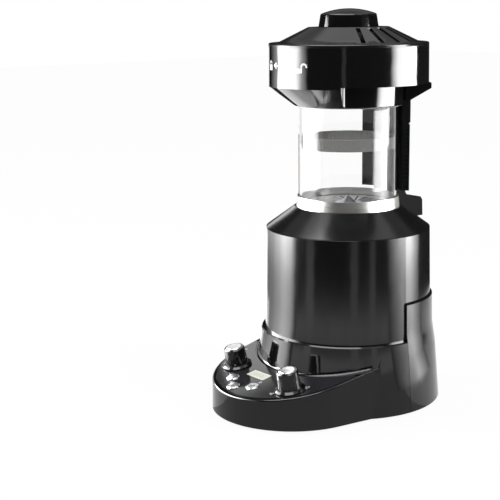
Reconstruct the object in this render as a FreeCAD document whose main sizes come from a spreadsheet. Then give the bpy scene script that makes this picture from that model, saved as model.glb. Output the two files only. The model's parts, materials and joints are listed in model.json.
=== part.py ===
"""Home coffee bean roaster: a hot-air tower with a glass chamber and a hinged chaff collector.

Millimetres, +Z up, controls towards -Y, hinge post towards +Y. The origin is the centre of the
footprint on the table. Every piece is drawn about the tower's axis and then moved by AXIS_Y.
"""
import FreeCAD, Part
import math
import os
import re

import Sketcher
from FreeCAD import Placement, Rotation, Vector

# ---------------------------------------------------------------- driving sizes
SIZES = {
    # base moulding and control lobe
    "foot_height": 3.5, "foot_radius": 8.0, "rear_foot_across": 62.0, "rear_foot_back": 14.0,
    "front_foot_across": 40.0, "front_foot_inset": 27.9, "rim_gap": 1.5, "floor_thickness": 2.5,
    "base_radius": 85.5, "tail_radius": 79.5, "collar_radius": 80.5, "collar_height": 65.5, "shell_wall": 2.5,
    "collar_edge": 1.0, "fit_gap": 0.3, "seam_gap": 0.3,
    "lobe_offset": 67.4, "lobe_radius": 72.5, "lobe_draft": 0.8,
    "panel_slope": 11.1, "panel_height": 33.5, "controls_reach": 100.5, "controls_turn": -4.0,
    "panel_skin": 4.0, "panel_edge_radius": 1.8, "lobe_play": 0.1, "cove_radius": 3.8,
    "plate_thickness": 1.8, "plate_proud": 0.3, "plate_margin": 3.2, "plate_tower_margin": 6.5,
    "plate_corner": 2.0, "controls_shift": -7.0,
    "knob_spread": 42.0, "button_spread": 15.8, "button_front": -17.4, "button_tip": -27.5,
    "window_width": 24.0, "window_depth": 11.0, "window_up": 0.8, "window_lip": 1.2,
    # tower
    "tower_radius": 76.5, "rear_flare": 1.0, "step_draft": 0.5, "seam_edge": 0.6,
    "shoulder_radius": 74.8, "shoulder_drop": 19.0,
    "cap_neck_radius": 48.5, "seat_height": 178.5, "cap_step": 1.0, "seat_bore": 40.0, "spigot_depth": 4.0,
    "rear_step_low": 72.0, "rear_step_high": 100.0, "rear_step": 2.0, "rear_flare_height": 52.0,
    "vent_width": 3.0, "vent_length": 26.0, "vent_height": 112.0, "vent_count": 9, "vent_pitch": 6.0,
    "gland_height": 24.0, "gland_radius": 7.0, "gland_bore": 3.6, "gland_length": 12.0,
    "gland_flange": 9.5, "gland_seat": 81.3, "gland_lip": 1.8,
    # chamber
    "glass_radius": 45.0, "glass_wall": 2.5, "glass_length": 88.7, "gasket_thickness": 1.0,
    "foot_flange": 1.5, "foot_ring_height": 9.4, "foot_ring_radius": 47.1, "foot_ring_draft": 1.0,
    "foot_ring_play": 0.15, "foot_bore": 41.0,
    "air_plate_thickness": 1.2, "air_slot_width": 2.0, "air_slot_inner": 12.0, "air_slot_outer": 35.0,
    "air_slot_count": 24, "air_hub_radius": 8.0, "air_hub_height": 6.0, "air_slot_skew": 25.0,
    "bean_ring_height": 10.6, "bean_ring_level": 50.8, "bean_ring_wall": 0.8, "bean_ring_play": 0.2,
    "bean_ring_lip": 2.4, "bean_ring_bead": 1.6, "bean_ring_split": 3.0, "bean_ring_turn": 78.0,
    # post, bracket and yoke
    "post_inner": 50.3, "post_outer": 57.0, "post_half_angle": 32.0, "post_rise": 11.5,
    "rib_pitch": 4.0, "rib_width": 1.2, "rib_depth": 0.8, "rib_margin": 1.2, "head_height": 22.0,
    "head_proud": 0.4, "head_round": 2.0, "head_line": 11.0, "head_line_width": 0.6,
    "bracket_half_width": 15.0, "bracket_reach": 82.0, "bracket_rise": 1.0, "bracket_drop": 2.0,
    "bracket_inset": 4.0, "bracket_round": 3.0, "bracket_crest": 9.0, "bracket_neck": 3.0, "bracket_step": 3.5,
    "seat_play": 0.1,
    "yoke_inner": 51.0, "yoke_outer": 74.2, "yoke_foot": 54.5, "yoke_edge": 4.7,
    "yoke_cone": 11.3,
    "yoke_half_angle": 43.0, "yoke_gap": 0.5,
    "hinge_reach": 76.5, "hinge_drop": 1.0, "knuckle_radius": 4.0, "yoke_knuckle": 12.0,
    "lid_knuckle": 9.7, "lug_back": 1.0, "lug_front": 3.5, "lug_root": 3.6, "lug_rise": 12.0,
    "lug_gap": 0.1, "knuckle_gap": 0.3, "pin_radius": 1.5, "pin_fit": 0.05, "pin_hold": 0.02,
    "post_screw_radius": 1.6, "post_screw_length": 14.0, "post_screw_head": 2.8,
    "post_screw_reach": 53.6, "post_screw_rise": 1.8, "screw_side": 9.0, "screw_grip": 8.0,
    # chaff collector
    "lip_gap": 0.6, "lip_radius": 48.9, "neck_radius": 50.0, "neck_bore": 47.5, "skirt_height": 17.3,
    "notch_height": 19.2, "notch_half_angle": 43.0, "notch_round": 4.0,
    "collector_wall": 2.5, "collector_height": 52.2,
    "band_radius": 71.9, "band_draft": 0.4, "seal_thickness": 1.5, "seal_inner": 43.5,
    "seal_outer": 48.2, "riser_height": 21.0, "riser_throat": 28.0, "riser_wall": 0.8,
    "riser_flange": 52.0,
    # cover
    "rim_thickness": 3.0, "cone_foot": 63.6, "cone_top": 36.0, "cone_height": 13.5, "cover_wall": 2.5,
    "cover_gap": 0.1, "rim_round": 1.4, "cone_round": 0.8,
    "slot_width": 4.0, "slot_count": 16, "slot_pitch": 16.0, "slot_margin": 1.5,
    "knob_radius": 26.7, "knob_draft": 1.8, "knob_round": 2.0, "knob_side": 11.0, "knob_crown": 4.7, "knob_wall": 2.5,
    "knob_lift": 0.3, "knob_boss": 2.0, "mesh_drop": 4.6, "mesh_thickness": 0.8, "mesh_hole": 2.6,
    "mesh_hole_count": 20, "mesh_hole_ring": 46.0, "screw_radius": 2.0, "screw_head": 4.0,
    "screw_cap": 2.0, "screw_play": 0.5,
    # fan
    "plenum_height": 8.0, "plenum_radius": 52.0, "intake_radius": 47.0, "intake_slot": 3.0,
    "intake_inner": 16.0, "intake_count": 24, "blower_radius": 58.0, "blower_wall": 2.0,
    "blower_barrel": 54.0, "blower_collar": 5.0, "inlet_radius": 30.0,
    "impeller_radius": 46.0, "impeller_lift": 5.0, "blade_height": 15.0, "blade_wall": 1.6,
    "blade_count": 12, "blade_inner": 17.0, "disc_thickness": 2.0,
    "hub_radius": 8.0, "hub_length": 5.0, "shaft_radius": 2.5, "shaft_fit": 0.05, "shaft_hold": 0.02,
    "motor_gap": 9.0, "motor_radius": 24.0, "motor_length": 44.0, "motor_boss": 8.0,
    "motor_flange": 27.0, "mount_arm_width": 9.0, "mount_thickness": 3.0, "mount_ring": 31.0,
    "mount_level": 17.0,
    # heater
    "heater_room": 68.5, "can_radius": 41.0, "can_wall": 0.8, "can_flange": 46.0, "can_overlap": 3.0,
    "mica_half": 31.0, "mica_wall": 1.2, "mica_rise": 7.0, "mica_height": 44.0, "mica_foot": 4.0,
    "coil_turns": 6, "coil_pitch": 6.5, "coil_wire": 0.9, "cutout_radius": 7.0, "cutout_depth": 4.0,
    "cutout_drop": 26.0,
    # control knobs and buttons
    "skirt_radius": 13.5, "skirt_thickness": 2.2, "grip_radius": 10.2, "grip_top_radius": 9.4,
    "dial_lift": 0.9, "dial_height": 17.5, "flute_count": 18, "flute_radius": 0.9,
    "dial_cap_radius": 7.0, "dial_cap_height": 1.6, "dial_cap_sink": 1.0,
    "stem_radius": 3.0, "stem_fit": 0.05, "stem_hold": 0.02, "bushing_radius": 4.5,
    "bushing_gap": 0.2, "bushing_rise": 0.6, "pot_radius": 8.5, "pot_depth": 7.5, "stem_foot": 6.5,
    "button_radius": 5.8, "button_gap": 0.25, "button_proud": 1.4, "button_sink": 1.2,
    "button_travel": 1.0, "button_clearance": 0.4, "button_stem": 2.4, "button_stem_gap": 0.2,
    "board_drop": 12.0, "board_thickness": 1.6, "board_half": 34.0, "board_back": 16.0,
    "switch_width": 6.0, "switch_height": 4.4, "switch_gap": 0.3,
    "board_boss": 3.0, "board_boss_across": 28.0, "board_boss_up": 11.0,
    "power_length": 70.0, "power_depth": 22.0, "power_front": 62.0, "power_lift": 5.0,
    "relay_left": 26.0, "relay_width": 18.0, "filter_left": 14.0, "filter_width": 10.0, "block_margin": 3.0,
    "block_height": 12.0, "capacitor_left": 3.0, "capacitor_radius": 5.0, "capacitor_height": 14.0,
    # screws that hold the floor
    "boss_radius": 4.5, "boss_across": 56.0, "boss_front": 82.0, "rear_boss_inset": 7.0,
    "rear_boss_angle": 55.0, "boss_height": 18.0, "tap_radius": 1.45, "tap_spare": 2.0, "shank_radius": 1.4,
    "shank_length": 12.0, "shank_hole": 1.8, "screw_head_radius": 3.2, "screw_head_height": 1.8,
}

# ---------------------------------------------------------------- levels and places, as expressions
AXIS_Y = "((lobe_offset + lobe_radius - base_radius) / 2)"
FLOOR_TOP = "(foot_height + floor_thickness)"
BLOWER_FOOT = f"({FLOOR_TOP} + plenum_height)"
IMPELLER_FOOT = f"({BLOWER_FOOT} + blower_wall + impeller_lift)"
DISC_TOP = f"({IMPELLER_FOOT} + blade_height + disc_thickness)"
MOTOR_FOOT = f"({DISC_TOP} + motor_gap)"
BLOWER_TOP = "(seat_height - heater_room)"
SEAT = "seat_height"
SHOULDER = "(seat_height - shoulder_drop)"
FRONT_FOOT = "(0 - lobe_offset - lobe_radius + front_foot_inset)"
POST_FOOT = "(seat_height + post_rise)"
BRACKET_LOW = f"({SHOULDER} + bracket_drop)"
BRACKET_TOP = "(seat_height + bracket_rise)"
CAP_UNDER = "(seat_height - shell_wall)"
GLASS_FOOT = "(seat_height + foot_flange + gasket_thickness)"
GLASS_TOP = f"({GLASS_FOOT} + glass_length)"
GLASS_BORE = "(glass_radius - glass_wall)"
LIP = f"({GLASS_TOP} + lip_gap)"
SKIRT_TOP = f"({LIP} + skirt_height)"
NOTCH_TOP = f"({LIP} + notch_height)"
BAND_TOP = f"({LIP} + collector_height)"
RIM_FOOT = f"({BAND_TOP} + cover_gap)"
RIM_TOP = f"({RIM_FOOT} + rim_thickness)"
CONE_TOP = f"({RIM_TOP} + cone_height)"
MESH_FOOT = f"({RIM_FOOT} - mesh_drop)"
YOKE_TOP = f"({NOTCH_TOP} - yoke_gap)"
YOKE_FOOT = f"({YOKE_TOP} - yoke_edge - yoke_cone)"
HEAD_FOOT = f"({YOKE_FOOT} - head_height)"
HINGE_Z = f"({NOTCH_TOP} - hinge_drop)"
SLOPE = "(panel_slope * 1 deg)"
TURN = "(controls_turn * 1 deg)"
LOBE_ON_PANEL = f"((controls_reach - lobe_offset) / cos({SLOPE}))"
TOWER_ON_PANEL = f"(controls_reach / cos({SLOPE}))"
SKIRT_SLOPE = "(skirt_height / (band_radius - lip_radius))"
CONTROLS = {
    "left_knob": ("(0 - knob_spread)", "0"),
    "right_knob": ("knob_spread", "0"),
    "power_button": ("(controls_shift - button_spread)", "button_front"),
    "start_button": ("controls_shift", "button_tip"),
    "cool_button": ("(controls_shift + button_spread)", "button_front"),
}
KNOBS = ("left_knob", "right_knob")
BUTTONS = ("power_button", "start_button", "cool_button")

document = FreeCAD.newDocument("CoffeeRoaster")
sheet = document.addObject("Spreadsheet::Sheet", "Sizes")
for row, (alias, value) in enumerate(SIZES.items(), start=1):
    sheet.set(f"A{row}", alias)
    sheet.set(f"B{row}", str(value))
    sheet.setAlias(f"B{row}", alias)
document.recompute()
pieces = {}


# ---------------------------------------------------------------- helpers
def on_sheet(text):
    """Spell the size names in an expression as cells of the sheet."""
    return re.sub(r"[a-z][a-z_0-9]*", lambda word: f"Sizes.{word[0]}" if word[0] in SIZES else word[0], text)


def size(text):
    """The number that an expression of size names has now."""
    found = sheet.evalExpression(on_sheet(text))
    return float(getattr(found, "Value", found))


def bind(item, field, text):
    """Tie one property of an object to an expression of size names."""
    item.setExpression(field, on_sheet(text))


def keep(item, label):
    """Name a finished piece; its label is its file name."""
    item.Label = label
    pieces[label] = item
    return item


def new_body(label, turn=0.0, kept=True):
    """A body whose origin is the tower's axis on the table, turned about that axis."""
    body = document.addObject("PartDesign::Body", f"{label}_body")
    body.AllowCompound = True
    body.Placement = Placement(Vector(), Rotation(Vector(0, 0, 1), turn))
    bind(body, "Placement.Base.y", AXIS_Y)
    if kept:
        keep(body, label)
    return body


def panel_body(label, across="0", up="0", lift="0"):
    """A body that stands square on the sloping control panel, at a place in the panel's plane."""
    body = document.addObject("PartDesign::Body", f"{label}_body")
    body.AllowCompound = True
    body.Placement = Placement(Vector(), Rotation(Vector(1, 0, 0), size("panel_slope")))
    bind(body, "Placement.Rotation.Angle", "panel_slope")
    side = f"({across}) * cos({TURN}) - ({up}) * sin({TURN})"
    climb = f"(({across}) * sin({TURN}) + ({up}) * cos({TURN}))"
    bind(body, "Placement.Base.x", side)
    bind(body, "Placement.Base.y",
         f"{AXIS_Y} - controls_reach + {climb} * cos({SLOPE}) - ({lift}) * sin({SLOPE})")
    bind(body, "Placement.Base.z", f"panel_height + {climb} * sin({SLOPE}) + ({lift}) * cos({SLOPE})")
    return keep(body, label)


def new_sketch(body, plane="XY_Plane", lift="0"):
    """A sketch on one of the body's own origin planes, lifted along that plane's normal."""
    sketch = body.newObject("Sketcher::SketchObject", f"{body.Name}_sketch")
    support = next(item for item in body.Origin.OriginFeatures if item.Role == plane)
    sketch.AttachmentSupport = [(support, "")]
    sketch.MapMode = "FlatFace"
    bind(sketch, "AttachmentOffset.Base.z", lift)
    return sketch


def panel_sketch(body, drop="0"):
    """A sketch in the plane of the control panel, on a body that stands upright."""
    sketch = new_sketch(body)
    sketch.AttachmentOffset = Placement(Vector(), Rotation(Vector(1, 0, 0), size("panel_slope")))
    bind(sketch, "AttachmentOffset.Rotation.Angle", "panel_slope")
    bind(sketch, "AttachmentOffset.Base.y", f"0 - controls_reach + ({drop}) * sin({SLOPE})")
    bind(sketch, "AttachmentOffset.Base.z", f"panel_height - ({drop}) * cos({SLOPE})")
    return sketch


def pin(sketch, element, point, x, y):
    """Hold one point of a sketch at named distances from its origin."""
    for kind, text in (("DistanceX", x), ("DistanceY", y)):
        row = sketch.addConstraint(Sketcher.Constraint(kind, -1, 1, element, point, size(text)))
        bind(sketch, f"Constraints[{row}]", text)


def corner(x, y):
    return Vector(size(x), size(y), 0)


def draw_polygon(sketch, corners):
    """A closed outline of straight lines through named corners."""
    first, count = sketch.GeometryCount, len(corners)
    for k, (x, y) in enumerate(corners):
        after = corners[(k + 1) % count]
        sketch.addGeometry(Part.LineSegment(corner(x, y), corner(*after)), False)
    for k in range(count):
        sketch.addConstraint(Sketcher.Constraint("Coincident", first + k, 2, first + (k + 1) % count, 1))
    for k, (x, y) in enumerate(corners):
        pin(sketch, first + k, 1, x, y)


def draw_box(sketch, x_low, x_high, y_low, y_high):
    draw_polygon(sketch, [(x_low, y_low), (x_high, y_low), (x_high, y_high), (x_low, y_high)])


def draw_circle(sketch, x, y, radius):
    element = sketch.addGeometry(Part.Circle(corner(x, y), Vector(0, 0, 1), size(radius)), False)
    pin(sketch, element, 3, x, y)
    row = sketch.addConstraint(Sketcher.Constraint("Radius", element, size(radius)))
    bind(sketch, f"Constraints[{row}]", radius)


def draw_arc(sketch, x, y, radius, start, end, held=True):
    """An arc with a named centre and radius; start and end are first guesses in degrees."""
    circle = Part.Circle(corner(x, y), Vector(0, 0, 1), size(radius))
    arc = Part.ArcOfCircle(circle, math.radians(start), math.radians(end))
    element = sketch.addGeometry(arc, False)
    pin(sketch, element, 3, x, y)
    if held:
        row = sketch.addConstraint(Sketcher.Constraint("Radius", element, size(radius)))
        bind(sketch, f"Constraints[{row}]", radius)
    return element


def draw_lobe_outline(sketch, inset):
    """Two circles, one inside the tower's foot and the lobe's, joined by their common tangents."""
    tower, lobe = f"(tail_radius - {inset})", f"(lobe_radius - {inset})"
    lean = math.degrees(math.asin((size(tower) - size(lobe)) / size("lobe_offset")))
    back = draw_arc(sketch, "0", "0", tower, -lean, 180 + lean)
    front = draw_arc(sketch, "0", "0 - lobe_offset", lobe, 180 + lean, 360 - lean)
    arcs = [sketch.Geometry[back], sketch.Geometry[front]]
    left = sketch.addGeometry(Part.LineSegment(arcs[0].EndPoint, arcs[1].StartPoint), False)
    right = sketch.addGeometry(Part.LineSegment(arcs[1].EndPoint, arcs[0].StartPoint), False)
    for one, its_end, other, other_end in ((back, 2, left, 1), (left, 2, front, 1),
                                           (front, 2, right, 1), (right, 2, back, 1)):
        sketch.addConstraint(Sketcher.Constraint("Tangent", one, its_end, other, other_end))


def draw_crescent(sketch, inset, inner):
    """The lobe's outline less the tower's circle, in the panel's plane."""
    lobe, tail = f"(lobe_radius - {inset})", f"(tail_radius - {inset})"
    span = size(f"{TOWER_ON_PANEL} - {LOBE_ON_PANEL}")
    lean = math.asin((size(tail) - size(lobe)) / span)
    dip = math.pi / 2 - lean - math.acos(size(tail) / size(inner))
    tip = math.degrees(math.pi / 2 - dip)
    front = draw_arc(sketch, "0", LOBE_ON_PANEL, lobe, 180 + math.degrees(lean), 360 - math.degrees(lean))
    back = draw_arc(sketch, "0", TOWER_ON_PANEL, inner, 180 + tip, 360 - tip)
    guide = sketch.addGeometry(Part.Circle(corner("0", TOWER_ON_PANEL), Vector(0, 0, 1), size(tail)), True)
    pin(sketch, guide, 3, "0", TOWER_ON_PANEL)
    row = sketch.addConstraint(Sketcher.Constraint("Radius", guide, size(tail)))
    bind(sketch, f"Constraints[{row}]", tail)
    for point in (1, 2):
        ends = [sketch.getPoint(front, point), sketch.getPoint(back, point)]
        line = sketch.addGeometry(Part.LineSegment(*ends), False)
        sketch.addConstraint(Sketcher.Constraint("Tangent", front, point, line, 1))
        sketch.addConstraint(Sketcher.Constraint("Coincident", back, point, line, 2))
        sketch.addConstraint(Sketcher.Constraint("Tangent", line, guide))


def feature(body, kind, sketch, **settings):
    item = body.newObject(f"PartDesign::{kind}", f"{body.Name}_{kind}")
    item.Profile = sketch
    for field, value in settings.items():
        setattr(item, field, value)
    return item


def pad(body, sketch, length, taper=None, **settings):
    item = feature(body, "Pad", sketch, **settings)
    bind(item, "Length", length)
    if taper:
        bind(item, "TaperAngle", taper)
    return item


def pocket(body, sketch, depth, **settings):
    item = feature(body, "Pocket", sketch, **settings)
    bind(item, "Length", depth)
    return item


def spin(body, corners, angle="360", kind="Revolution", middle=False, backwards=False):
    """Turn a closed profile of (radius, height) corners about the tower's axis."""
    sketch = new_sketch(body, "XZ_Plane")
    draw_polygon(sketch, corners)
    item = feature(body, kind, sketch, ReferenceAxis=(sketch, ["V_Axis"]))
    bind(item, "Angle", angle)
    item.Midplane = middle
    item.Reversed = backwards
    return item


def groove(body, corners, angle="360", middle=False):
    return spin(body, corners, angle, "Groove", middle)


def repeat_round(body, item, count, angle="360"):
    """Repeat one feature round the body's vertical axis."""
    pattern = body.newObject("PartDesign::PolarPattern", f"{body.Name}_pattern")
    pattern.Originals = [item]
    axis = next(line for line in body.Origin.OriginFeatures if line.Role == "Z_Axis")
    pattern.Axis = (axis, [""])
    bind(pattern, "Angle", angle)
    bind(pattern, "Occurrences", count)
    body.Tip = pattern
    return pattern


def mirror_across(body, items, plane="YZ_Plane"):
    """Repeat features on the other side of one of the body's planes."""
    mirrored = body.newObject("PartDesign::Mirrored", f"{body.Name}_mirror")
    mirrored.Originals = items
    support = next(item for item in body.Origin.OriginFeatures if item.Role == plane)
    mirrored.MirrorPlane = (support, [""])
    body.Tip = mirrored
    return mirrored


def round_edges(body, item, radius, chosen):
    """Fillet the edges of a feature that the test chooses."""
    document.recompute()
    names = [f"Edge{k}" for k, edge in enumerate(item.Shape.Edges, start=1) if chosen(edge)]
    fillet = body.newObject("PartDesign::Fillet", f"{body.Name}_fillet")
    fillet.Base = (item, names)
    bind(fillet, "Radius", radius)
    return fillet


def cut(label, base, tool):
    """One piece less another."""
    item = document.addObject("Part::Cut", f"{label}_cut")
    item.Base, item.Tool = base, tool
    return keep(item, label)


# ---------------------------------------------------------------- base
def lobe_block(body, inset, drop, foot):
    """The lobe and the tower's foot as one drafted block, cut off along the panel's slope."""
    sketch = new_sketch(body, lift=foot)
    draw_lobe_outline(sketch, inset)
    pad(body, sketch, "collar_height - 2", taper="0 - lobe_draft")
    slope = panel_sketch(body, drop)
    draw_box(slope, "0 - 2 * base_radius", "2 * base_radius", "0 - 2 * base_radius", "2 * base_radius")
    return pocket(body, slope, "2 * base_radius", Reversed=True)


def on_panel(point):
    """How far a point of the tower's frame lies above the panel's plane."""
    slope = math.radians(size("panel_slope"))
    return ((point.z - size("panel_height")) * math.cos(slope)
            - (point.y + size("controls_reach")) * math.sin(slope))


def collar_cone(body, top):
    """The flared front foot of the tower, up to the given height."""
    return spin(body, [("0", "rim_gap"), ("base_radius", "rim_gap"),
                       ("collar_radius", "collar_height - collar_edge"),
                       ("collar_radius - collar_edge", top), ("0", top)])


def collar_cove():
    """Cove where the panel meets the collar: rounded on a wide slab, then cut inside the lobe's rim."""
    slab = new_body("cove_slab", kept=False)
    sketch = panel_sketch(slab)
    draw_box(sketch, "0 - 2 * base_radius", "2 * base_radius", "0 - 2 * base_radius",
             f"{TOWER_ON_PANEL} + panel_skin")
    pad(slab, sketch, "panel_skin", Reversed=True)
    cone = collar_cone(slab, "collar_height")

    def in_corner(edge):
        ends = [vertex.Point for vertex in edge.Vertexes]
        inside = max(math.hypot(point.x, point.y) for point in ends) < 1.5 * size("base_radius")
        return inside and max(abs(on_panel(point)) for point in ends) < 0.01

    round_edges(slab, cone, "cove_radius", in_corner)
    limits = new_body("cove_limits", kept=False)
    outline = new_sketch(limits, lift="rim_gap")
    draw_lobe_outline(outline, "(panel_edge_radius + lobe_play)")
    pad(limits, outline, "collar_height - 2", taper="0 - lobe_draft")
    cove = document.addObject("Part::Common", "collar_cove")
    cove.Base, cove.Tool = slab, limits
    return cove


def base_openings():
    """What is cut from the front moulding: the plate's recess, the control holes and the rear half."""
    tools = new_body("base_openings", kept=False)
    plate = panel_sketch(tools, "plate_thickness - plate_proud")
    draw_crescent(plate, "(plate_margin - fit_gap)", "(collar_radius + plate_tower_margin - fit_gap)")
    pad(tools, plate, "plate_thickness")
    holes = panel_sketch(tools, "2 * panel_skin")
    for name in KNOBS:
        draw_circle(holes, *turned_place(name), "bushing_radius + bushing_gap")
    for name in BUTTONS:
        draw_circle(holes, *turned_place(name), "button_stem + button_stem_gap")
    draw_box(holes, *window_box("0 - window_lip"))
    pad(tools, holes, "2 * panel_skin")
    seats = panel_sketch(tools, "button_sink + button_travel + button_clearance")
    for name in BUTTONS:
        draw_circle(seats, *turned_place(name), "button_radius + button_gap")
    pad(tools, seats, "button_sink + button_travel + button_clearance")
    back = new_sketch(tools, lift="0 - foot_height")
    draw_box(back, "0 - 2 * base_radius", "2 * base_radius", "0", "2 * base_radius")
    pad(tools, back, "2 * collar_height")
    return tools


def base_housing():
    """Front moulding: the control lobe and the front half of the tower's flared foot."""
    form = new_body("base_form", kept=False)
    block = lobe_block(form, "0", "0", "rim_gap")

    def on_panel_rim(edge):
        ends = [abs(on_panel(vertex.Point)) for vertex in edge.Vertexes]
        return max(ends) < 0.01 and edge.BoundBox.YMin < -size("tower_radius / 2")

    round_edges(form, block, "panel_edge_radius", on_panel_rim)
    collar_cone(form, "collar_height")
    whole = document.addObject("Part::Fuse", "base_with_cove")
    whole.Base, whole.Tool = form, collar_cove()
    opened = document.addObject("Part::Cut", "base_opened")
    opened.Base, opened.Tool = whole, base_openings()
    return cut("base_housing", opened, base_cavity())


def base_cavity():
    """The space inside the front moulding, less its screw posts and board posts."""
    inner = new_body("base_space", kept=False)
    lobe_block(inner, "shell_wall", "panel_skin", "0")
    spin(inner, [("0", "0"), ("base_radius - shell_wall", "0"),
                 ("collar_radius - shell_wall", "collar_height - shell_wall"),
                 ("shoulder_radius - 2 * shell_wall", "collar_height - shell_wall"),
                 ("shoulder_radius - 2 * shell_wall", "collar_height + 1"),
                 ("0", "collar_height + 1")])
    posts = new_sketch(inner, lift=FLOOR_TOP)
    for side in ("boss_across", "0 - boss_across"):
        draw_circle(posts, side, "0 - boss_front", "boss_radius")
    pocket(inner, posts, "collar_height", Reversed=True)
    taps = new_sketch(inner, lift=FLOOR_TOP)
    for side in ("boss_across", "0 - boss_across"):
        draw_circle(taps, side, "0 - boss_front", "tap_radius")
    pad(inner, taps, "shank_length + 2")
    boards = panel_sketch(inner, "board_drop")
    for side in ("board_boss_across", "0 - board_boss_across"):
        draw_circle(boards, side, "board_boss_up", "board_boss")
    pocket(inner, boards, "board_drop", Reversed=True)
    return inner


def turned_place(name):
    """A control's place in the panel's plane, with the group's small turn."""
    across, up = CONTROLS[name]
    return (f"({across}) * cos({TURN}) - ({up}) * sin({TURN})",
            f"({across}) * sin({TURN}) + ({up}) * cos({TURN})")


def window_box(grow):
    """The display opening: low and high sides, grown or shrunk all round."""
    half_wide, half_deep = f"(window_width / 2 + {grow})", f"(window_depth / 2 + {grow})"
    return (f"controls_shift - {half_wide}", f"controls_shift + {half_wide}",
            f"window_up - {half_deep}", f"window_up + {half_deep}")


def base_plate():
    """Floor of the base: air intake grille, plenum ring and board posts."""
    body = new_body("base_plate")
    sketch = new_sketch(body, lift="foot_height")
    draw_lobe_outline(sketch, "(shell_wall + fit_gap)")
    pad(body, sketch, "floor_thickness")
    disc = new_sketch(body, lift="foot_height")
    draw_circle(disc, "0", "0", "base_radius - shell_wall - 3 * fit_gap")
    pad(body, disc, "floor_thickness")
    ring = new_sketch(body, lift=FLOOR_TOP)
    draw_circle(ring, "0", "0", "plenum_radius + blower_wall")
    draw_circle(ring, "0", "0", "plenum_radius")
    pad(body, ring, "plenum_height")
    posts = new_sketch(body, lift=FLOOR_TOP)
    for side in ("power_length / 2 - 5", "5 - power_length / 2"):
        draw_circle(posts, side, "0 - power_front - power_depth / 2", "board_boss")
    pad(body, posts, "power_lift")
    holes = new_sketch(body, lift="foot_height")
    for x, y in screw_places():
        draw_circle(holes, x, y, "shank_hole")
    pocket(body, holes, "floor_thickness", Reversed=True)
    slot = new_sketch(body, lift="foot_height")
    draw_box(slot, "intake_inner", "intake_radius", "0 - intake_slot / 2", "intake_slot / 2")
    cutter = pocket(body, slot, "floor_thickness", Reversed=True)
    repeat_round(body, cutter, "intake_count")


def screw_places():
    """Where the four floor screws stand."""
    rear = [(f"{sign} (base_radius - rear_boss_inset) * sin(rear_boss_angle * 1 deg)",
             "(base_radius - rear_boss_inset) * cos(rear_boss_angle * 1 deg)") for sign in ("", "0 -")]
    return [("boss_across", "0 - boss_front"), ("0 - boss_across", "0 - boss_front")] + rear


def base_screws():
    body = new_body("base_screws")
    heads = new_sketch(body, lift="foot_height - screw_head_height")
    shanks = new_sketch(body, lift="foot_height")
    for x, y in screw_places():
        draw_circle(heads, x, y, "screw_head_radius")
        draw_circle(shanks, x, y, "shank_radius")
    pad(body, heads, "screw_head_height")
    pad(body, shanks, "floor_thickness + shank_length")


def rubber_feet():
    body = new_body("rubber_feet")
    soles = new_sketch(body)
    for x, y in (("rear_foot_across", "rear_foot_back"), ("front_foot_across", FRONT_FOOT)):
        draw_circle(soles, x, y, "foot_radius")
        draw_circle(soles, f"0 - {x}", y, "foot_radius")
    pad(body, soles, "foot_height", taper="0 - 10")


# ---------------------------------------------------------------- tower
def tower_front():
    """Front half of the tower's shell, standing on the base's collar."""
    body = new_body("tower_front")
    spin(body, [("tower_radius", "collar_height"), ("shoulder_radius", f"{SHOULDER} - seam_edge"),
                ("shoulder_radius - seam_edge", SHOULDER), ("shoulder_radius - shell_wall", SHOULDER),
                ("tower_radius - shell_wall", "collar_height")], "180", backwards=True)


def tower_rear():
    """Rear half of the shell, down to the table, with louvres and the cord hole."""
    body = new_body("tower_rear")
    wall = [("base_radius", "rim_gap"), ("collar_radius + rear_flare", "rear_flare_height"),
            ("tower_radius + rear_step", "rear_step_low"),
            ("tower_radius + rear_step - step_draft", "rear_step_high - rear_step"),
            ("tower_radius - step_draft", "rear_step_high")]
    top = [("shoulder_radius", f"{SHOULDER} - seam_edge"), ("shoulder_radius - seam_edge", SHOULDER),
           ("shoulder_radius - shell_wall", SHOULDER)]
    inside = [(f"{radius} - shell_wall", height) for radius, height in reversed(wall)]
    spin(body, wall + top + inside, "180")
    bosses = new_sketch(body, lift=FLOOR_TOP)
    for x, y in screw_places()[2:]:
        draw_circle(bosses, x, y, "boss_radius")
    pad(body, bosses, "boss_height")
    taps = new_sketch(body, lift=FLOOR_TOP)
    for x, y in screw_places()[2:]:
        draw_circle(taps, x, y, "tap_radius")
    pocket(body, taps, "shank_length + tap_spare", Reversed=True)
    front = new_sketch(body)
    draw_box(front, "0 - 2 * base_radius", "2 * base_radius", "0 - base_radius", "seam_gap")
    pocket(body, front, f"2 * {SHOULDER}", Reversed=True)
    seat = new_sketch(body, "XZ_Plane", "0 - 2 * base_radius")
    draw_circle(seat, "0", "gland_height", "gland_flange + fit_gap")
    pocket(body, seat, "2 * base_radius - gland_seat", Reversed=True)
    hole = new_sketch(body, "XZ_Plane", "0 - 2 * base_radius")
    draw_circle(hole, "0", "gland_height", "gland_radius + fit_gap")
    pocket(body, hole, "1.5 * base_radius", Reversed=True)
    louvres = new_sketch(body, "XZ_Plane", "0 - 2 * base_radius")
    for k in range(int(SIZES["vent_count"])):
        middle = f"(vent_pitch * ({k} - (vent_count - 1) / 2))"
        draw_box(louvres, f"{middle} - vent_width / 2", f"{middle} + vent_width / 2",
                 "vent_height - vent_length / 2", "vent_height + vent_length / 2")
    pocket(body, louvres, "1.5 * base_radius", Reversed=True)


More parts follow.
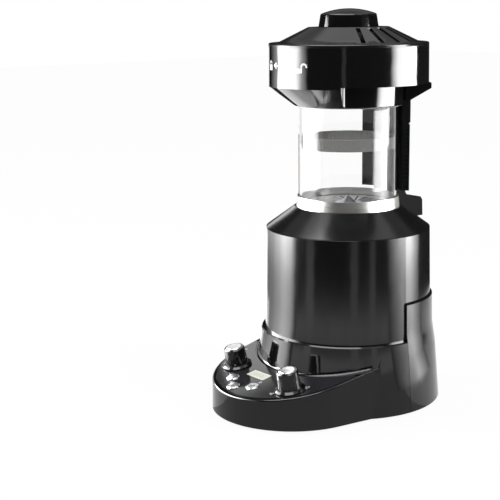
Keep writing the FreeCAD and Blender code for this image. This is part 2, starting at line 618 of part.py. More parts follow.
def shoulder_cap():
    """Cone that closes the tower and seats the chamber."""
    body = new_body("shoulder_cap")
    spin(body, [("shoulder_radius", SHOULDER), ("cap_neck_radius", SEAT), ("seat_bore", SEAT),
                ("seat_bore", CAP_UNDER), ("cap_neck_radius - cap_step", CAP_UNDER),
                ("shoulder_radius - 2 * shell_wall - fit_gap", f"{SHOULDER} - cap_step"),
                ("shoulder_radius - 2 * shell_wall - fit_gap", f"{SHOULDER} - spigot_depth"),
                ("shoulder_radius - shell_wall - fit_gap", f"{SHOULDER} - spigot_depth"),
                ("shoulder_radius - shell_wall - fit_gap", SHOULDER)])


def cord_gland():
    """Bush in the tower's back that the mains cord goes through."""
    body = new_body("cord_gland")
    for radius, start, length in (("gland_radius", "gland_seat - gland_length", "gland_length"),
                                  ("gland_flange", "gland_seat", "gland_lip")):
        sketch = new_sketch(body, "XZ_Plane", f"0 - ({start})")
        draw_circle(sketch, "0", "gland_height", radius)
        pad(body, sketch, length, Reversed=True)
    bore = new_sketch(body, "XZ_Plane", "0 - gland_seat - 2 * gland_lip")
    draw_circle(bore, "0", "gland_height", "gland_bore")
    pocket(body, bore, "2 * gland_length", Reversed=True)


# ---------------------------------------------------------------- chamber
def chamber_foot():
    """Brushed steel ring that holds the foot of the glass."""
    body = new_body("chamber_foot")
    bore = "(glass_radius + foot_ring_play)"
    spin(body, [("foot_bore", SEAT), ("foot_ring_radius", SEAT),
                ("foot_ring_radius - foot_ring_draft", f"{SEAT} + foot_ring_height"),
                (bore, f"{SEAT} + foot_ring_height"), (bore, f"{SEAT} + foot_flange"),
                ("foot_bore", f"{SEAT} + foot_flange")])


def ring(label, inner, outer, low, high):
    """A plain flat ring."""
    body = new_body(label)
    spin(body, [(inner, low), (outer, low), (outer, high), (inner, high)])
    return body


def glass_tube():
    body = ring("glass_tube", GLASS_BORE, "glass_radius", GLASS_FOOT, GLASS_TOP)
    top = size(GLASS_TOP)
    round_edges(body, body.Tip, "glass_wall / 3", lambda edge: edge.BoundBox.ZMin > top - 0.01)


def air_plate():
    """Plate under the beans: skewed slots set the air turning, a cone keeps the centre moving."""
    body = new_body("air_plate")
    low = f"({SEAT} + foot_flange)"
    high = f"({low} + air_plate_thickness)"
    spin(body, [("0", low), (f"{GLASS_BORE} - bean_ring_play", low),
                (f"{GLASS_BORE} - bean_ring_play", high), ("air_hub_radius", high),
                ("1", f"{high} + air_hub_height"), ("0", f"{high} + air_hub_height")])
    slot = new_sketch(body, lift=low)
    skew = "(air_slot_skew * 1 deg)"
    reach = "(air_slot_outer - air_slot_inner)"
    half = "(air_slot_width / 2)"
    ends = [("air_slot_inner", f"0 - {half}"),
            (f"air_slot_inner + {reach} * cos({skew})", f"{reach} * sin({skew}) - {half}"),
            (f"air_slot_inner + {reach} * cos({skew})", f"{reach} * sin({skew}) + {half}"),
            ("air_slot_inner", half)]
    draw_polygon(slot, ends)
    cutter = pocket(body, slot, "air_plate_thickness", Reversed=True)
    repeat_round(body, cutter, "air_slot_count")


def bean_ring():
    """Split steel band that springs against the glass and keeps the beans down."""
    body = new_body("bean_ring", turn=SIZES["bean_ring_turn"])
    bind(body, "Placement.Rotation.Angle", "bean_ring_turn")
    low = f"({GLASS_FOOT} + bean_ring_level)"
    high = f"({low} + bean_ring_height)"
    outer = f"({GLASS_BORE} - bean_ring_play)"
    spin(body, [(f"{outer} - bean_ring_lip", low), (outer, low), (outer, high),
                (f"{outer} - bean_ring_bead", high),
                (f"{outer} - bean_ring_bead", f"{high} - bean_ring_wall"),
                (f"{outer} - bean_ring_wall", f"{high} - bean_ring_wall"),
                (f"{outer} - bean_ring_wall", f"{low} + bean_ring_wall"),
                (f"{outer} - bean_ring_lip", f"{low} + bean_ring_wall")], "360 - bean_ring_split")


# ---------------------------------------------------------------- post and hinge
def rear_post():
    """Curved post behind the glass; both its side faces are ribbed."""
    body = new_body("rear_post", turn=90.0)
    spin(body, [("post_inner", POST_FOOT), ("post_outer", POST_FOOT), ("post_outer", HEAD_FOOT),
                ("post_inner", HEAD_FOOT)], "2 * post_half_angle", middle=True)
    count = int((size(HEAD_FOOT) - size(POST_FOOT) - SIZES["rib_pitch"]) / SIZES["rib_pitch"])
    steps = [f"{POST_FOOT} + rib_pitch * {k + 0.5}" for k in range(count)]
    side_slots(body, [(step, f"{step} + rib_pitch - rib_width") for step in steps])
    holes = new_sketch(body, lift=POST_FOOT)
    for side in ("screw_side", "0 - screw_side"):
        draw_circle(holes, "post_screw_reach", side, "post_screw_radius + pin_fit")
    pocket(body, holes, "post_screw_length", Reversed=True)


def side_slots(body, spans):
    """Shallow slots across both side faces of the post or its head, between the given heights."""
    sketch = new_sketch(body, "XZ_Plane")
    sketch.AttachmentOffset = Placement(Vector(), Rotation(Vector(0, 1, 0), size("post_half_angle")))
    bind(sketch, "AttachmentOffset.Rotation.Angle", "post_half_angle")
    for low, high in spans:
        draw_box(sketch, "post_inner + rib_margin", "post_outer - rib_margin", low, high)
    slots = feature(body, "Groove", sketch, ReferenceAxis=(sketch, ["V_Axis"]), Reversed=True)
    bind(slots, "Angle", "rib_depth / post_inner * 180 / pi")
    mirror_across(body, [slots], "XZ_Plane")


def post_bracket():
    """Wedge that carries the post over the shoulder; its underside follows the cone."""
    body = new_body("post_bracket")
    side = new_sketch(body, "YZ_Plane")
    draw_polygon(side, [("yoke_inner - bracket_inset", BRACKET_LOW), ("bracket_reach", BRACKET_LOW),
                        ("bracket_reach - bracket_round / 4", f"{BRACKET_TOP} - bracket_round"),
                        ("bracket_reach - bracket_round", BRACKET_TOP),
                        ("post_outer + bracket_crest", f"{BRACKET_TOP} + bracket_rise"),
                        ("post_outer + bracket_neck", f"{BRACKET_TOP} + bracket_rise + bracket_step"),
                        ("post_outer", POST_FOOT), ("yoke_inner - bracket_inset", POST_FOOT)])
    pad(body, side, "2 * bracket_half_width", Midplane=True)
    groove(body, [("0", f"{BRACKET_LOW} - 20"), ("shoulder_radius + seat_play", f"{BRACKET_LOW} - 20"),
                  ("shoulder_radius + seat_play", f"{SHOULDER} + seat_play"),
                  ("cap_neck_radius + seat_play", f"{SEAT} + seat_play"),
                  ("post_inner", f"{SEAT} + seat_play"), ("post_inner", f"{POST_FOOT} + 5"),
                  ("0", f"{POST_FOOT} + 5")])
    for level, radius in ((f"{POST_FOOT} + 1", "post_screw_radius + pin_fit"),
                          (f"{POST_FOOT} - screw_grip", "post_screw_head + fit_gap")):
        holes = new_sketch(body, lift=level)
        for across in ("screw_side", "0 - screw_side"):
            draw_circle(holes, across, "post_screw_reach", radius)
        pocket(body, holes, POST_FOOT, Reversed=False)


def post_screws():
    """Two screws from under the bracket into the post."""
    body = new_body("post_screws")
    for radius, start, length in (
            ("post_screw_radius", f"{POST_FOOT} - screw_grip", "screw_grip + post_screw_length - 2"),
            ("post_screw_head", f"{POST_FOOT} - screw_grip - post_screw_rise", "post_screw_rise")):
        sketch = new_sketch(body, lift=start)
        for across in ("screw_side", "0 - screw_side"):
            draw_circle(sketch, across, "post_screw_reach", radius)
        pad(body, sketch, length)


def hinge_yoke():
    """Rear bracket on top of the post that carries the collector's hinge."""
    body = new_body("hinge_yoke", turn=90.0)
    spin(body, [("yoke_inner", YOKE_FOOT), ("yoke_foot", YOKE_FOOT),
                ("yoke_outer", f"{YOKE_TOP} - yoke_edge"), ("yoke_outer", YOKE_TOP),
                ("yoke_inner", YOKE_TOP)], "2 * yoke_half_angle", middle=True)
    head = "(post_outer + head_proud)"
    spin(body, [("post_inner", HEAD_FOOT), (f"{head} - head_round", HEAD_FOOT),
                (head, f"{HEAD_FOOT} + head_round"), (head, f"{YOKE_FOOT} + 0.1"),
                ("post_inner", f"{YOKE_FOOT} + 0.1")], "2 * post_half_angle", middle=True)
    side_slots(body, [(f"{HEAD_FOOT} + head_line", f"{HEAD_FOOT} + head_line + head_line_width")])
    knuckle = new_sketch(body, "XZ_Plane")
    draw_circle(knuckle, "hinge_reach", HINGE_Z, "knuckle_radius")
    pad(body, knuckle, "2 * yoke_knuckle", Midplane=True)
    room = new_sketch(body, lift=f"{YOKE_TOP} + knuckle_radius")
    for near, far in (("yoke_knuckle", "yoke_knuckle + lid_knuckle + 2 * knuckle_gap"),
                      ("0 - yoke_knuckle - lid_knuckle - 2 * knuckle_gap", "0 - yoke_knuckle")):
        draw_box(room, "hinge_reach - knuckle_radius - 1", "hinge_reach + 10", near, far)
    pocket(body, room, "30", Reversed=False)
    bore = new_sketch(body, "XZ_Plane")
    draw_circle(bore, "hinge_reach", HINGE_Z, "pin_radius + pin_fit")
    pocket(body, bore, "4 * yoke_knuckle", Midplane=True)


def hinge_pin():
    body = new_body("hinge_pin")
    sketch = new_sketch(body, "YZ_Plane")
    draw_circle(sketch, "hinge_reach", HINGE_Z, "pin_radius")
    pad(body, sketch, "2 * (yoke_knuckle + knuckle_gap + lid_knuckle)", Midplane=True)


# ---------------------------------------------------------------- chaff collector
def collector_drum():
    """Drum with a neck over the glass, a flared front skirt, side notches and hinge lugs."""
    body = new_body("collector_drum", turn=-90.0)
    wall = "collector_wall"
    inside = f"(band_radius - {wall})"
    trough = f"({NOTCH_TOP} + {wall})"
    spin(body, [("neck_bore", f"{LIP} + seal_thickness"), ("seal_outer + 0.2", f"{LIP} + seal_thickness"),
                ("seal_outer + 0.2", LIP), ("lip_radius", LIP), ("band_radius", SKIRT_TOP),
                ("band_radius - band_draft", BAND_TOP), (f"{inside} - band_draft", BAND_TOP),
                (inside, trough), ("neck_bore", trough)])
    notches = groove(body, [("0 - neck_radius", f"{LIP} - 1"), ("0 - band_radius - 5", f"{LIP} - 1"),
                  ("0 - band_radius - 5", NOTCH_TOP), ("0 - neck_radius", NOTCH_TOP)],
           "360 - 2 * notch_half_angle", middle=True)
    round_edges(body, notches, "notch_round", in_notch_corner)
    groove(body, [("neck_radius", trough), (inside, trough),
                  (inside, f"{SKIRT_TOP} + 1.3 * {wall} - {wall} * {SKIRT_SLOPE}"),
                  ("neck_radius", f"{LIP} + (neck_radius - lip_radius) * {SKIRT_SLOPE} + 1.3 * {wall}")],
           "2 * (notch_half_angle - 3)", middle=True)
    hinge_lugs(body)


def in_notch_corner(edge):
    """Whether an edge stands upright where the front skirt meets the neck."""
    reach = [math.hypot(vertex.Point.x, vertex.Point.y) - size("neck_radius") for vertex in edge.Vertexes]
    return max(map(abs, reach)) < 0.01 and edge.BoundBox.ZLength > size("notch_height / 2")


def hinge_lugs(body):
    """Two lugs behind the drum that turn on the hinge pin."""
    arm = new_sketch(body, "XZ_Plane", "yoke_knuckle + knuckle_gap")
    back, front, root = "0 - hinge_reach - lug_back", "lug_front - hinge_reach", "lug_root - band_radius"
    draw_polygon(arm, [(back, HINGE_Z), (back, f"{HINGE_Z} + knuckle_radius"),
                       ("0 - band_radius + lug_back", f"{HINGE_Z} + lug_rise"),
                       (root, f"{HINGE_Z} + lug_rise"), (root, f"{NOTCH_TOP} + lug_gap"),
                       (front, f"{NOTCH_TOP} + lug_gap"), (front, HINGE_Z)])
    first = pad(body, arm, "lid_knuckle")
    barrel = new_sketch(body, "XZ_Plane", "yoke_knuckle + knuckle_gap")
    draw_circle(barrel, "0 - hinge_reach", HINGE_Z, "knuckle_radius")
    second = pad(body, barrel, "lid_knuckle")
    mirror_across(body, [first, second], "XZ_Plane")
    bore = new_sketch(body, "XZ_Plane")
    draw_circle(bore, "0 - hinge_reach", HINGE_Z, "pin_radius + pin_hold")
    pocket(body, bore, "6 * yoke_knuckle", Midplane=True)


def chaff_riser():
    """Sheet-metal cone that lifts chaff over into the drum's trough."""
    body = new_body("chaff_riser")
    low = f"({NOTCH_TOP} + collector_wall)"
    spin(body, [("neck_bore", low), ("riser_flange", low), ("riser_flange", f"{low} + riser_wall"),
                ("neck_bore + riser_wall", f"{low} + riser_wall"),
                ("riser_throat + riser_wall", f"{low} + riser_height"),
                ("riser_throat", f"{low} + riser_height")])


# ---------------------------------------------------------------- cover
def cover():
    """Slotted cone lid of the collector, with a plain front sector."""
    body = new_body("cover", turn=90.0)
    rim = "(band_radius - band_draft)"
    crust = spin(body, [("0", f"{CONE_TOP} - cover_wall"), ("cone_top - 1", f"{CONE_TOP} - cover_wall"),
                        ("cone_foot - cover_wall", RIM_FOOT), (rim, RIM_FOOT), (rim, RIM_TOP),
                        ("cone_foot", RIM_TOP), ("cone_top", CONE_TOP), ("0", CONE_TOP)])
    edges = round_edges(body, crust, "rim_round", on_level(RIM_TOP, rim))
    round_edges(body, edges, "cone_round", on_level(CONE_TOP, "cone_top"))
    hole = new_sketch(body, lift=f"{CONE_TOP} + 1")
    draw_circle(hole, "0", "0", "screw_radius + pin_fit")
    pocket(body, hole, "2 * cover_wall", Reversed=False)
    for side in (1, -1):
        slot_row(body, side)


def on_level(height, radius):
    """A test for the round edge at one height and distance from the axis."""
    def chosen(edge):
        box, reach = edge.BoundBox, size(radius)
        return (box.ZLength < 0.01 and abs(box.ZMin - size(height)) < 0.01
                and abs(math.hypot(edge.Vertexes[0].X, edge.Vertexes[0].Y) - reach) < 0.05)
    return chosen


def slot_row(body, side):
    """Half of the slots run one way round from the rear, and half the other way."""
    slot = new_sketch(body, lift=f"{CONE_TOP} + 1")
    lean = f"({side} * slot_pitch / 2 * 1 deg)"
    ends = []
    for reach, edge in (("(cone_top + slot_margin)", "(0 - slot_width / 2)"),
                        ("(cone_foot - slot_margin)", "(0 - slot_width / 2)"),
                        ("(cone_foot - slot_margin)", "(slot_width / 2)"),
                        ("(cone_top + slot_margin)", "(slot_width / 2)")):
        ends.append((f"{reach} * cos({lean}) - {edge} * sin({lean})",
                     f"{reach} * sin({lean}) + {edge} * cos({lean})"))
    draw_polygon(slot, ends)
    cutter = pocket(body, slot, "cone_height + rim_thickness + 1.5", Reversed=False)
    pattern = repeat_round(body, cutter, "slot_count / 2", "slot_pitch * (slot_count / 2 - 1)")
    pattern.Reversed = side < 0


def cover_knob():
    """Domed knob, hollow from below, with a boss for its screw."""
    body = new_body("cover_knob")
    low = f"({CONE_TOP} + knob_lift)"
    side = f"({low} + knob_side)"
    sketch = new_sketch(body, "XZ_Plane")
    draw_dome(sketch, low, side)
    item = feature(body, "Revolution", sketch, ReferenceAxis=(sketch, ["V_Axis"]))
    bind(item, "Angle", "360")
    round_edges(body, item, "knob_round", on_level(side, "knob_radius - knob_draft"))
    boss = "(screw_head + knob_boss)"
    groove(body, [(boss, f"{CONE_TOP} - 1"), ("knob_radius - knob_wall", f"{CONE_TOP} - 1"),
                  ("knob_radius - knob_draft - knob_wall", f"{side} - knob_wall"),
                  (boss, f"{side} - knob_wall")])
    tap = new_sketch(body, lift=f"{CONE_TOP} - 1")
    draw_circle(tap, "0", "0", "screw_radius + pin_hold")
    pocket(body, tap, "knob_side", Reversed=True)


def draw_dome(sketch, low, side):
    """Half section of the knob: a straight side and a crowned top."""
    rim = "(knob_radius - knob_draft)"
    crown = f"(({rim} * {rim} + knob_crown * knob_crown) / (2 * knob_crown))"
    centre = f"({side} + knob_crown - {crown})"
    top = math.degrees(math.asin(min(1.0, size(rim) / size(crown))))
    arc = draw_arc(sketch, "0", centre, crown, 90 - top, 90, held=False)
    points = [("0", CONE_TOP), ("screw_head + knob_boss", CONE_TOP), ("screw_head + knob_boss", low),
              ("knob_radius", low), (rim, side)]
    lines = []
    for start, end in zip(points, points[1:]):
        lines.append(sketch.addGeometry(Part.LineSegment(corner(*start), corner(*end)), False))
    axis = sketch.addGeometry(
        Part.LineSegment(Vector(0, size(f"{side} + knob_crown"), 0), corner(*points[0])), False)
    for one, other in zip(lines, lines[1:]):
        sketch.addConstraint(Sketcher.Constraint("Coincident", one, 2, other, 1))
    for line, point in zip(lines, points):
        pin(sketch, line, 1, *point)
    pin(sketch, lines[-1], 2, *points[-1])
    sketch.addConstraint(Sketcher.Constraint("Coincident", lines[-1], 2, arc, 1))
    sketch.addConstraint(Sketcher.Constraint("Coincident", arc, 2, axis, 1))
    sketch.addConstraint(Sketcher.Constraint("Coincident", axis, 2, lines[0], 1))
    sketch.addConstraint(Sketcher.Constraint("Vertical", axis))


def cover_mesh():
    """Perforated screen under the cover's slots; its upright rim centres the cover in the drum."""
    outer = "(band_radius - band_draft - collector_wall - fit_gap)"
    low = MESH_FOOT
    high = f"({low} + mesh_thickness)"
    body = new_body("cover_mesh")
    spin(body, [("screw_radius + screw_play", low), (outer, low), (outer, f"{RIM_FOOT} - cover_gap"),
                (f"{outer} - mesh_thickness", f"{RIM_FOOT} - cover_gap"), (f"{outer} - mesh_thickness", high),
                ("screw_radius + screw_play", high)])
    hole = new_sketch(body, lift=low)
    draw_circle(hole, "mesh_hole_ring", "0", "mesh_hole")
    cutter = pocket(body, hole, "mesh_thickness", Reversed=True)
    repeat_round(body, cutter, "mesh_hole_count")


def knob_screw():
    """Screw up through the mesh and the cover into the knob; its sleeve carries the mesh."""
    body = new_body("knob_screw")
    foot, tip = f"({MESH_FOOT} - screw_cap)", f"({CONE_TOP} + knob_side - knob_wall)"
    spin(body, [("0", foot), ("screw_head", foot), ("screw_head", MESH_FOOT),
                ("screw_radius", MESH_FOOT), ("screw_radius", tip), ("0", tip)])


# ---------------------------------------------------------------- fan
def blower_housing():
    """Duct from the intake up round the motor to the heater."""
    body = new_body("blower_housing")
    wall, bend = "blower_wall", f"({BLOWER_FOOT} + blower_barrel)"
    throat = "(can_radius + fit_gap)"
    spin(body, [("inlet_radius", BLOWER_FOOT), ("blower_radius", BLOWER_FOOT), ("blower_radius", bend),
                (f"{throat} + {wall}", BLOWER_TOP), (f"{throat} + {wall}", f"{BLOWER_TOP} + blower_collar"),
                (throat, f"{BLOWER_TOP} + blower_collar"), (throat, BLOWER_TOP),
                (f"blower_radius - {wall}", bend), (f"blower_radius - {wall}", f"{BLOWER_FOOT} + {wall}"),
                ("inlet_radius", f"{BLOWER_FOOT} + {wall}")])


def impeller():
    """Backward-curved fan wheel, drawing from below."""
    body = new_body("impeller")
    disc = f"({IMPELLER_FOOT} + blade_height)"
    spin(body, [("shaft_radius + shaft_hold", f"{disc} - hub_length"), ("hub_radius", f"{disc} - hub_length"),
                ("hub_radius", disc), ("impeller_radius", disc), ("impeller_radius", DISC_TOP),
                ("hub_radius", DISC_TOP), ("hub_radius", f"{DISC_TOP} + hub_length"),
                ("shaft_radius + shaft_hold", f"{DISC_TOP} + hub_length")])
    sketch = new_sketch(body, lift=IMPELLER_FOOT)
    draw_blade(sketch)
    blade = pad(body, sketch, "blade_height + disc_thickness / 2")
    repeat_round(body, blade, "blade_count")


def draw_blade(sketch):
    """A curved blade between the eye and the rim: two arcs about one centre, closed by short ends."""
    reach = "((impeller_radius - 1 - blade_inner) / 2)"
    middle = "((impeller_radius - 1 + blade_inner) / 2)"
    centre = (middle, f"0 - {reach} * 1.2")
    radii = (f"({reach} * 1.56)", f"({reach} * 1.56 + blade_wall)")
    spread = math.degrees(math.asin(1 / 1.56))
    arcs = [draw_arc(sketch, *centre, radius, 90 - spread, 90 + spread) for radius in radii]
    for arc in arcs:
        limits = (("DistanceX", 1, f"impeller_radius - 1"), ("DistanceX", 2, "blade_inner"))
        for kind, point, text in limits:
            row = sketch.addConstraint(Sketcher.Constraint(kind, -1, 1, arc, point, size(text)))
            bind(sketch, f"Constraints[{row}]", text)
    ends = [(arcs[0], 1, arcs[1], 1), (arcs[1], 2, arcs[0], 2)]
    for one, start, other, end in ends:
        points = [getattr(sketch.Geometry[arc], "StartPoint" if k == 1 else "EndPoint")
                  for arc, k in ((one, start), (other, end))]
        line = sketch.addGeometry(Part.LineSegment(*points), False)
        sketch.addConstraint(Sketcher.Constraint("Coincident", one, start, line, 1))
        sketch.addConstraint(Sketcher.Constraint("Coincident", line, 2, other, end))


def motor_shaft():
    body = new_body("motor_shaft")
    sketch = new_sketch(body, lift=f"{IMPELLER_FOOT} + blade_height - hub_length")
    draw_circle(sketch, "0", "0", "shaft_radius")
    pad(body, sketch, "hub_length + disc_thickness + motor_gap + motor_boss")


def fan_motor():
    """Motor can with a bearing boss, a mounting flange and a blind bore for the shaft."""
    body = new_body("fan_motor")
    flange = f"({MOTOR_FOOT} + mount_level + mount_thickness)"
    bore, depth = "(shaft_radius + shaft_fit)", f"({MOTOR_FOOT} + motor_boss + 1)"
    top = f"({MOTOR_FOOT} + motor_length)"
    spin(body, [(bore, f"{MOTOR_FOOT} - 1"), ("motor_boss", f"{MOTOR_FOOT} - 1"),
                ("motor_boss", f"{MOTOR_FOOT} + 1"), ("motor_radius - 2", f"{MOTOR_FOOT} + 1"),
                ("motor_radius", f"{MOTOR_FOOT} + 3"), ("motor_radius", flange), ("motor_flange", flange),
                ("motor_flange", f"{flange} + 2"), ("motor_radius", f"{flange} + 2"),
                ("motor_radius", f"{top} - 2"), ("motor_radius - 2", top), ("motor_boss", top),
                ("motor_boss", f"{top} + 4"), ("0", f"{top} + 4"), ("0", depth), (bore, depth)])


def motor_mount():
    """Three-armed spider that hangs the motor in the duct."""
    body = new_body("motor_mount")
    low = f"({MOTOR_FOOT} + mount_level)"
    spin(body, [("motor_radius + fit_gap", low), ("mount_ring", low),
                ("mount_ring", f"{low} + mount_thickness"),
                ("motor_radius + fit_gap", f"{low} + mount_thickness")])
    arm = new_sketch(body, lift=low)
    draw_box(arm, "mount_ring - 1", "blower_radius - blower_wall - 2 * fit_gap",
             "0 - mount_arm_width / 2", "mount_arm_width / 2")
    first = pad(body, arm, "mount_thickness")
    repeat_round(body, first, "3")


# ---------------------------------------------------------------- heater
def heater_can():
    body = new_body("heater_can")
    low, wall = f"({BLOWER_TOP} + blower_collar - can_overlap)", "can_wall"
    spin(body, [(f"can_radius - {wall}", low), ("can_radius", low), ("can_radius", f"{CAP_UNDER} - {wall}"),
                ("can_flange", f"{CAP_UNDER} - {wall}"), ("can_flange", CAP_UNDER),
                (f"can_radius - {wall}", CAP_UNDER)])


def heater_core():
    """Crossed mica cards; their feet reach the can's wall."""
    body = new_body("heater_core")
    low = f"({BLOWER_TOP} + blower_collar)"
    for plane in ("XZ_Plane", "YZ_Plane"):
        card = new_sketch(body, plane)
        inside = "(can_radius - can_wall - fit_gap)"
        foot = f"{low} + mica_foot"
        top = f"{foot} + mica_rise + mica_height"
        draw_polygon(card, [(f"0 - {inside}", low), (inside, low), (inside, foot), ("mica_half", foot),
                            ("mica_half", top), ("0 - mica_half", top), ("0 - mica_half", foot),
                            (f"0 - {inside}", foot)])
        pad(body, card, "mica_wall", Midplane=True)


def heater_coil():
    """Wire wound over the edges of the mica cards: a square spiral swept from corner to corner."""
    radius = size("mica_half + 2 * fit_gap") + math.sqrt(2) * size("coil_wire")
    low = size(f"{BLOWER_TOP} + blower_collar + mica_foot + mica_rise")
    corners = []
    for k in range(int(SIZES["coil_turns"]) * 4 + 1):
        angle = math.radians(90 * k)
        height = low + SIZES["coil_pitch"] * k / 4
        corners.append(Vector(radius * math.cos(angle), radius * math.sin(angle), height))
    path = Part.makePolygon(corners)
    start = corners[1] - corners[0]
    section = Part.Wire(Part.makeCircle(SIZES["coil_wire"], corners[0], start))
    maker = Part.BRepOffsetAPI.MakePipeShell(path)
    maker.setTransitionMode(1)
    maker.add(section)
    maker.build()
    maker.makeSolid()
    coil = document.addObject("Part::Feature", "heater_coil_wire")
    coil.Shape = maker.shape()
    coil.Placement = Placement(Vector(0, size(AXIS_Y), 0), Rotation())
    keep(coil, "heater_coil")


def thermal_cutout():
    """Snap-disc cut-out strapped to the heater can."""
    body = new_body("thermal_cutout")
    sketch = new_sketch(body, "XZ_Plane", "0 - can_radius - fit_gap")
    draw_circle(sketch, "0", "seat_height - cutout_drop", "cutout_radius")
    pad(body, sketch, "cutout_depth", Reversed=True)


# ---------------------------------------------------------------- controls
def control_panel():
    """Glossy crescent plate in the lobe's recess."""
    body = panel_body("control_panel")
    sketch = new_sketch(body, lift="plate_proud - plate_thickness")
    draw_crescent(sketch, "plate_margin", "(collar_radius + plate_tower_margin)")
    slab = pad(body, sketch, "plate_thickness")
    round_edges(body, slab, "plate_corner",
                lambda edge: edge.BoundBox.XLength < 0.01 and edge.BoundBox.YLength < 0.01)
    holes = new_sketch(body, lift="plate_proud - plate_thickness")
    for name in KNOBS:
        draw_circle(holes, *turned_place(name), "bushing_radius + bushing_gap")
    for name in BUTTONS:
        draw_circle(holes, *turned_place(name), "button_radius + button_gap")
    draw_box(holes, *window_box("0"))
    pocket(body, holes, "plate_thickness", Reversed=True)


def display_window():
    """Clear window that drops into the plate's opening."""
    body = panel_body("display_window")
    sketch = new_sketch(body, lift="plate_proud - plate_thickness")
    draw_box(sketch, *window_box("0 - 0.1"))
    pad(body, sketch, "plate_thickness - 0.2")


def control_board():
    """Circuit board under the panel, held by the two posts."""
    body = panel_body("control_board", lift="0 - board_drop - board_thickness")
    sketch = new_sketch(body)
    reach = "(lobe_radius - 2 * shell_wall)"
    lean = math.degrees(math.asin(size("board_half") / size(reach)))
    front = draw_arc(sketch, "0", LOBE_ON_PANEL, reach, 270 - lean, 270 + lean)
    dip = [sketch.Geometry[front].StartPoint, sketch.Geometry[front].EndPoint]
    back = [Vector(size("board_half"), size("board_back"), 0),
            Vector(-size("board_half"), size("board_back"), 0)]
    right = sketch.addGeometry(Part.LineSegment(dip[1], back[0]), False)
    top = sketch.addGeometry(Part.LineSegment(back[0], back[1]), False)
    left = sketch.addGeometry(Part.LineSegment(back[1], dip[0]), False)
    for one, its_end, other, other_end in ((front, 2, right, 1), (right, 2, top, 1), (top, 2, left, 1),
                                           (left, 2, front, 1)):
        sketch.addConstraint(Sketcher.Constraint("Coincident", one, its_end, other, other_end))
    pin(sketch, top, 1, "board_half", "board_back")
    pin(sketch, left, 1, "0 - board_half", "board_back")
    for line in (right, left):
        sketch.addConstraint(Sketcher.Constraint("Vertical", line))
    pad(body, sketch, "board_thickness")


def potentiometers():
    """Two potentiometers under the panel, each with its threaded bushing."""
    body = panel_body("potentiometers")
    cans = new_sketch(body, lift="0 - panel_skin - pot_depth")
    tubes = new_sketch(body, lift="0 - panel_skin")
    bores = new_sketch(body, lift="0 - panel_skin - stem_foot")
    for name in KNOBS:
        draw_circle(cans, *turned_place(name), "pot_radius")
        draw_circle(tubes, *turned_place(name), "bushing_radius")
        draw_circle(bores, *turned_place(name), "stem_radius + stem_fit")
    pad(body, cans, "pot_depth")
    pad(body, tubes, "panel_skin + bushing_rise")
    pocket(body, bores, "2 * panel_skin + stem_foot", Reversed=True)


def button_switches():
    """Three small switches on the control board, one under each button."""
    body = panel_body("button_switches")
    sketch = new_sketch(body, lift="0 - board_drop")
    for name in BUTTONS:
        x, y = turned_place(name)
        draw_box(sketch, f"{x} - switch_width / 2", f"{x} + switch_width / 2",
                 f"{y} - switch_width / 2", f"{y} + switch_width / 2")
    pad(body, sketch, "switch_height")


def dial(name):
    """A skirted, fluted knob with a stem socket, its metal cap and its stem."""
    across, up = CONTROLS[name]
    body = panel_body(name, across, up, "plate_proud + dial_lift")
    spin(body, [("stem_radius + stem_hold", "0"), ("skirt_radius", "0"), ("skirt_radius", "0.6"),
                ("grip_radius + 0.6", "skirt_thickness"), ("grip_radius", "skirt_thickness"),
                ("grip_top_radius", "dial_height - 0.8"), ("grip_top_radius - 0.8", "dial_height"),
                ("dial_cap_radius + 0.1", "dial_height"),
                ("dial_cap_radius + 0.1", "dial_height - dial_cap_sink"),
                ("0", "dial_height - dial_cap_sink"), ("0", "dial_height - 4"),
                ("stem_radius + stem_hold", "dial_height - 4")])
    flute = new_sketch(body, lift="skirt_thickness + 0.4")
    draw_circle(flute, "grip_radius + flute_radius / 3", "0", "flute_radius")
    cutter = pocket(body, flute, "dial_height", Reversed=True)
    repeat_round(body, cutter, "flute_count")
    cap = panel_body(f"{name}_cap", across, up, "plate_proud + dial_lift + dial_height - dial_cap_sink")
    spin(cap, [("0", "0"), ("dial_cap_radius", "0"), ("dial_cap_radius", "dial_cap_height - 0.4"),
               ("dial_cap_radius - 0.4", "dial_cap_height"), ("0", "dial_cap_height")])
    stem = panel_body(f"{name}_stem", across, up, "0 - panel_skin - stem_foot + pin_fit")
    sketch = new_sketch(stem)
    draw_circle(sketch, "0", "0", "stem_radius")
    pad(stem, sketch, "panel_skin + stem_foot + plate_proud + dial_lift + dial_height - 4.1 - pin_fit")


def push_button(name):
    """Round metal button with a stem that reaches its switch."""
    across, up = CONTROLS[name]
    body = panel_body(name, across, up, "0")
    foot = "(switch_height - board_drop + button_travel + switch_gap)"
    spin(body, [("0", foot), ("button_stem", foot), ("button_stem", "0 - button_sink"),
                ("button_radius", "0 - button_sink"), ("button_radius", "button_proud - 0.5"),
                ("button_radius - 0.5", "button_proud"), ("0", "button_proud")])


def power_board():
    """Mains board on two posts beside the blower, with its larger components."""
    body = new_body("power_board")
    low = f"({FLOOR_TOP} + power_lift)"
    near, far = "0 - power_front", "0 - power_front - power_depth"
    sketch = new_sketch(body, lift=low)
    draw_box(sketch, "0 - power_length / 2", "power_length / 2", far, near)
    pad(body, sketch, "board_thickness")
    blocks = new_sketch(body, lift=f"{low} + board_thickness")
    for left, width in (("0 - relay_left", "relay_width"), ("filter_left", "filter_width")):
        draw_box(blocks, left, f"{left} + {width}", f"{far} + block_margin", f"{near} - block_margin")
    pad(body, blocks, "block_height")
    cans = new_sketch(body, lift=f"{low} + board_thickness")
    draw_circle(cans, "capacitor_left", f"{far} + power_depth / 2", "capacitor_radius")
    pad(body, cans, "capacitor_height")


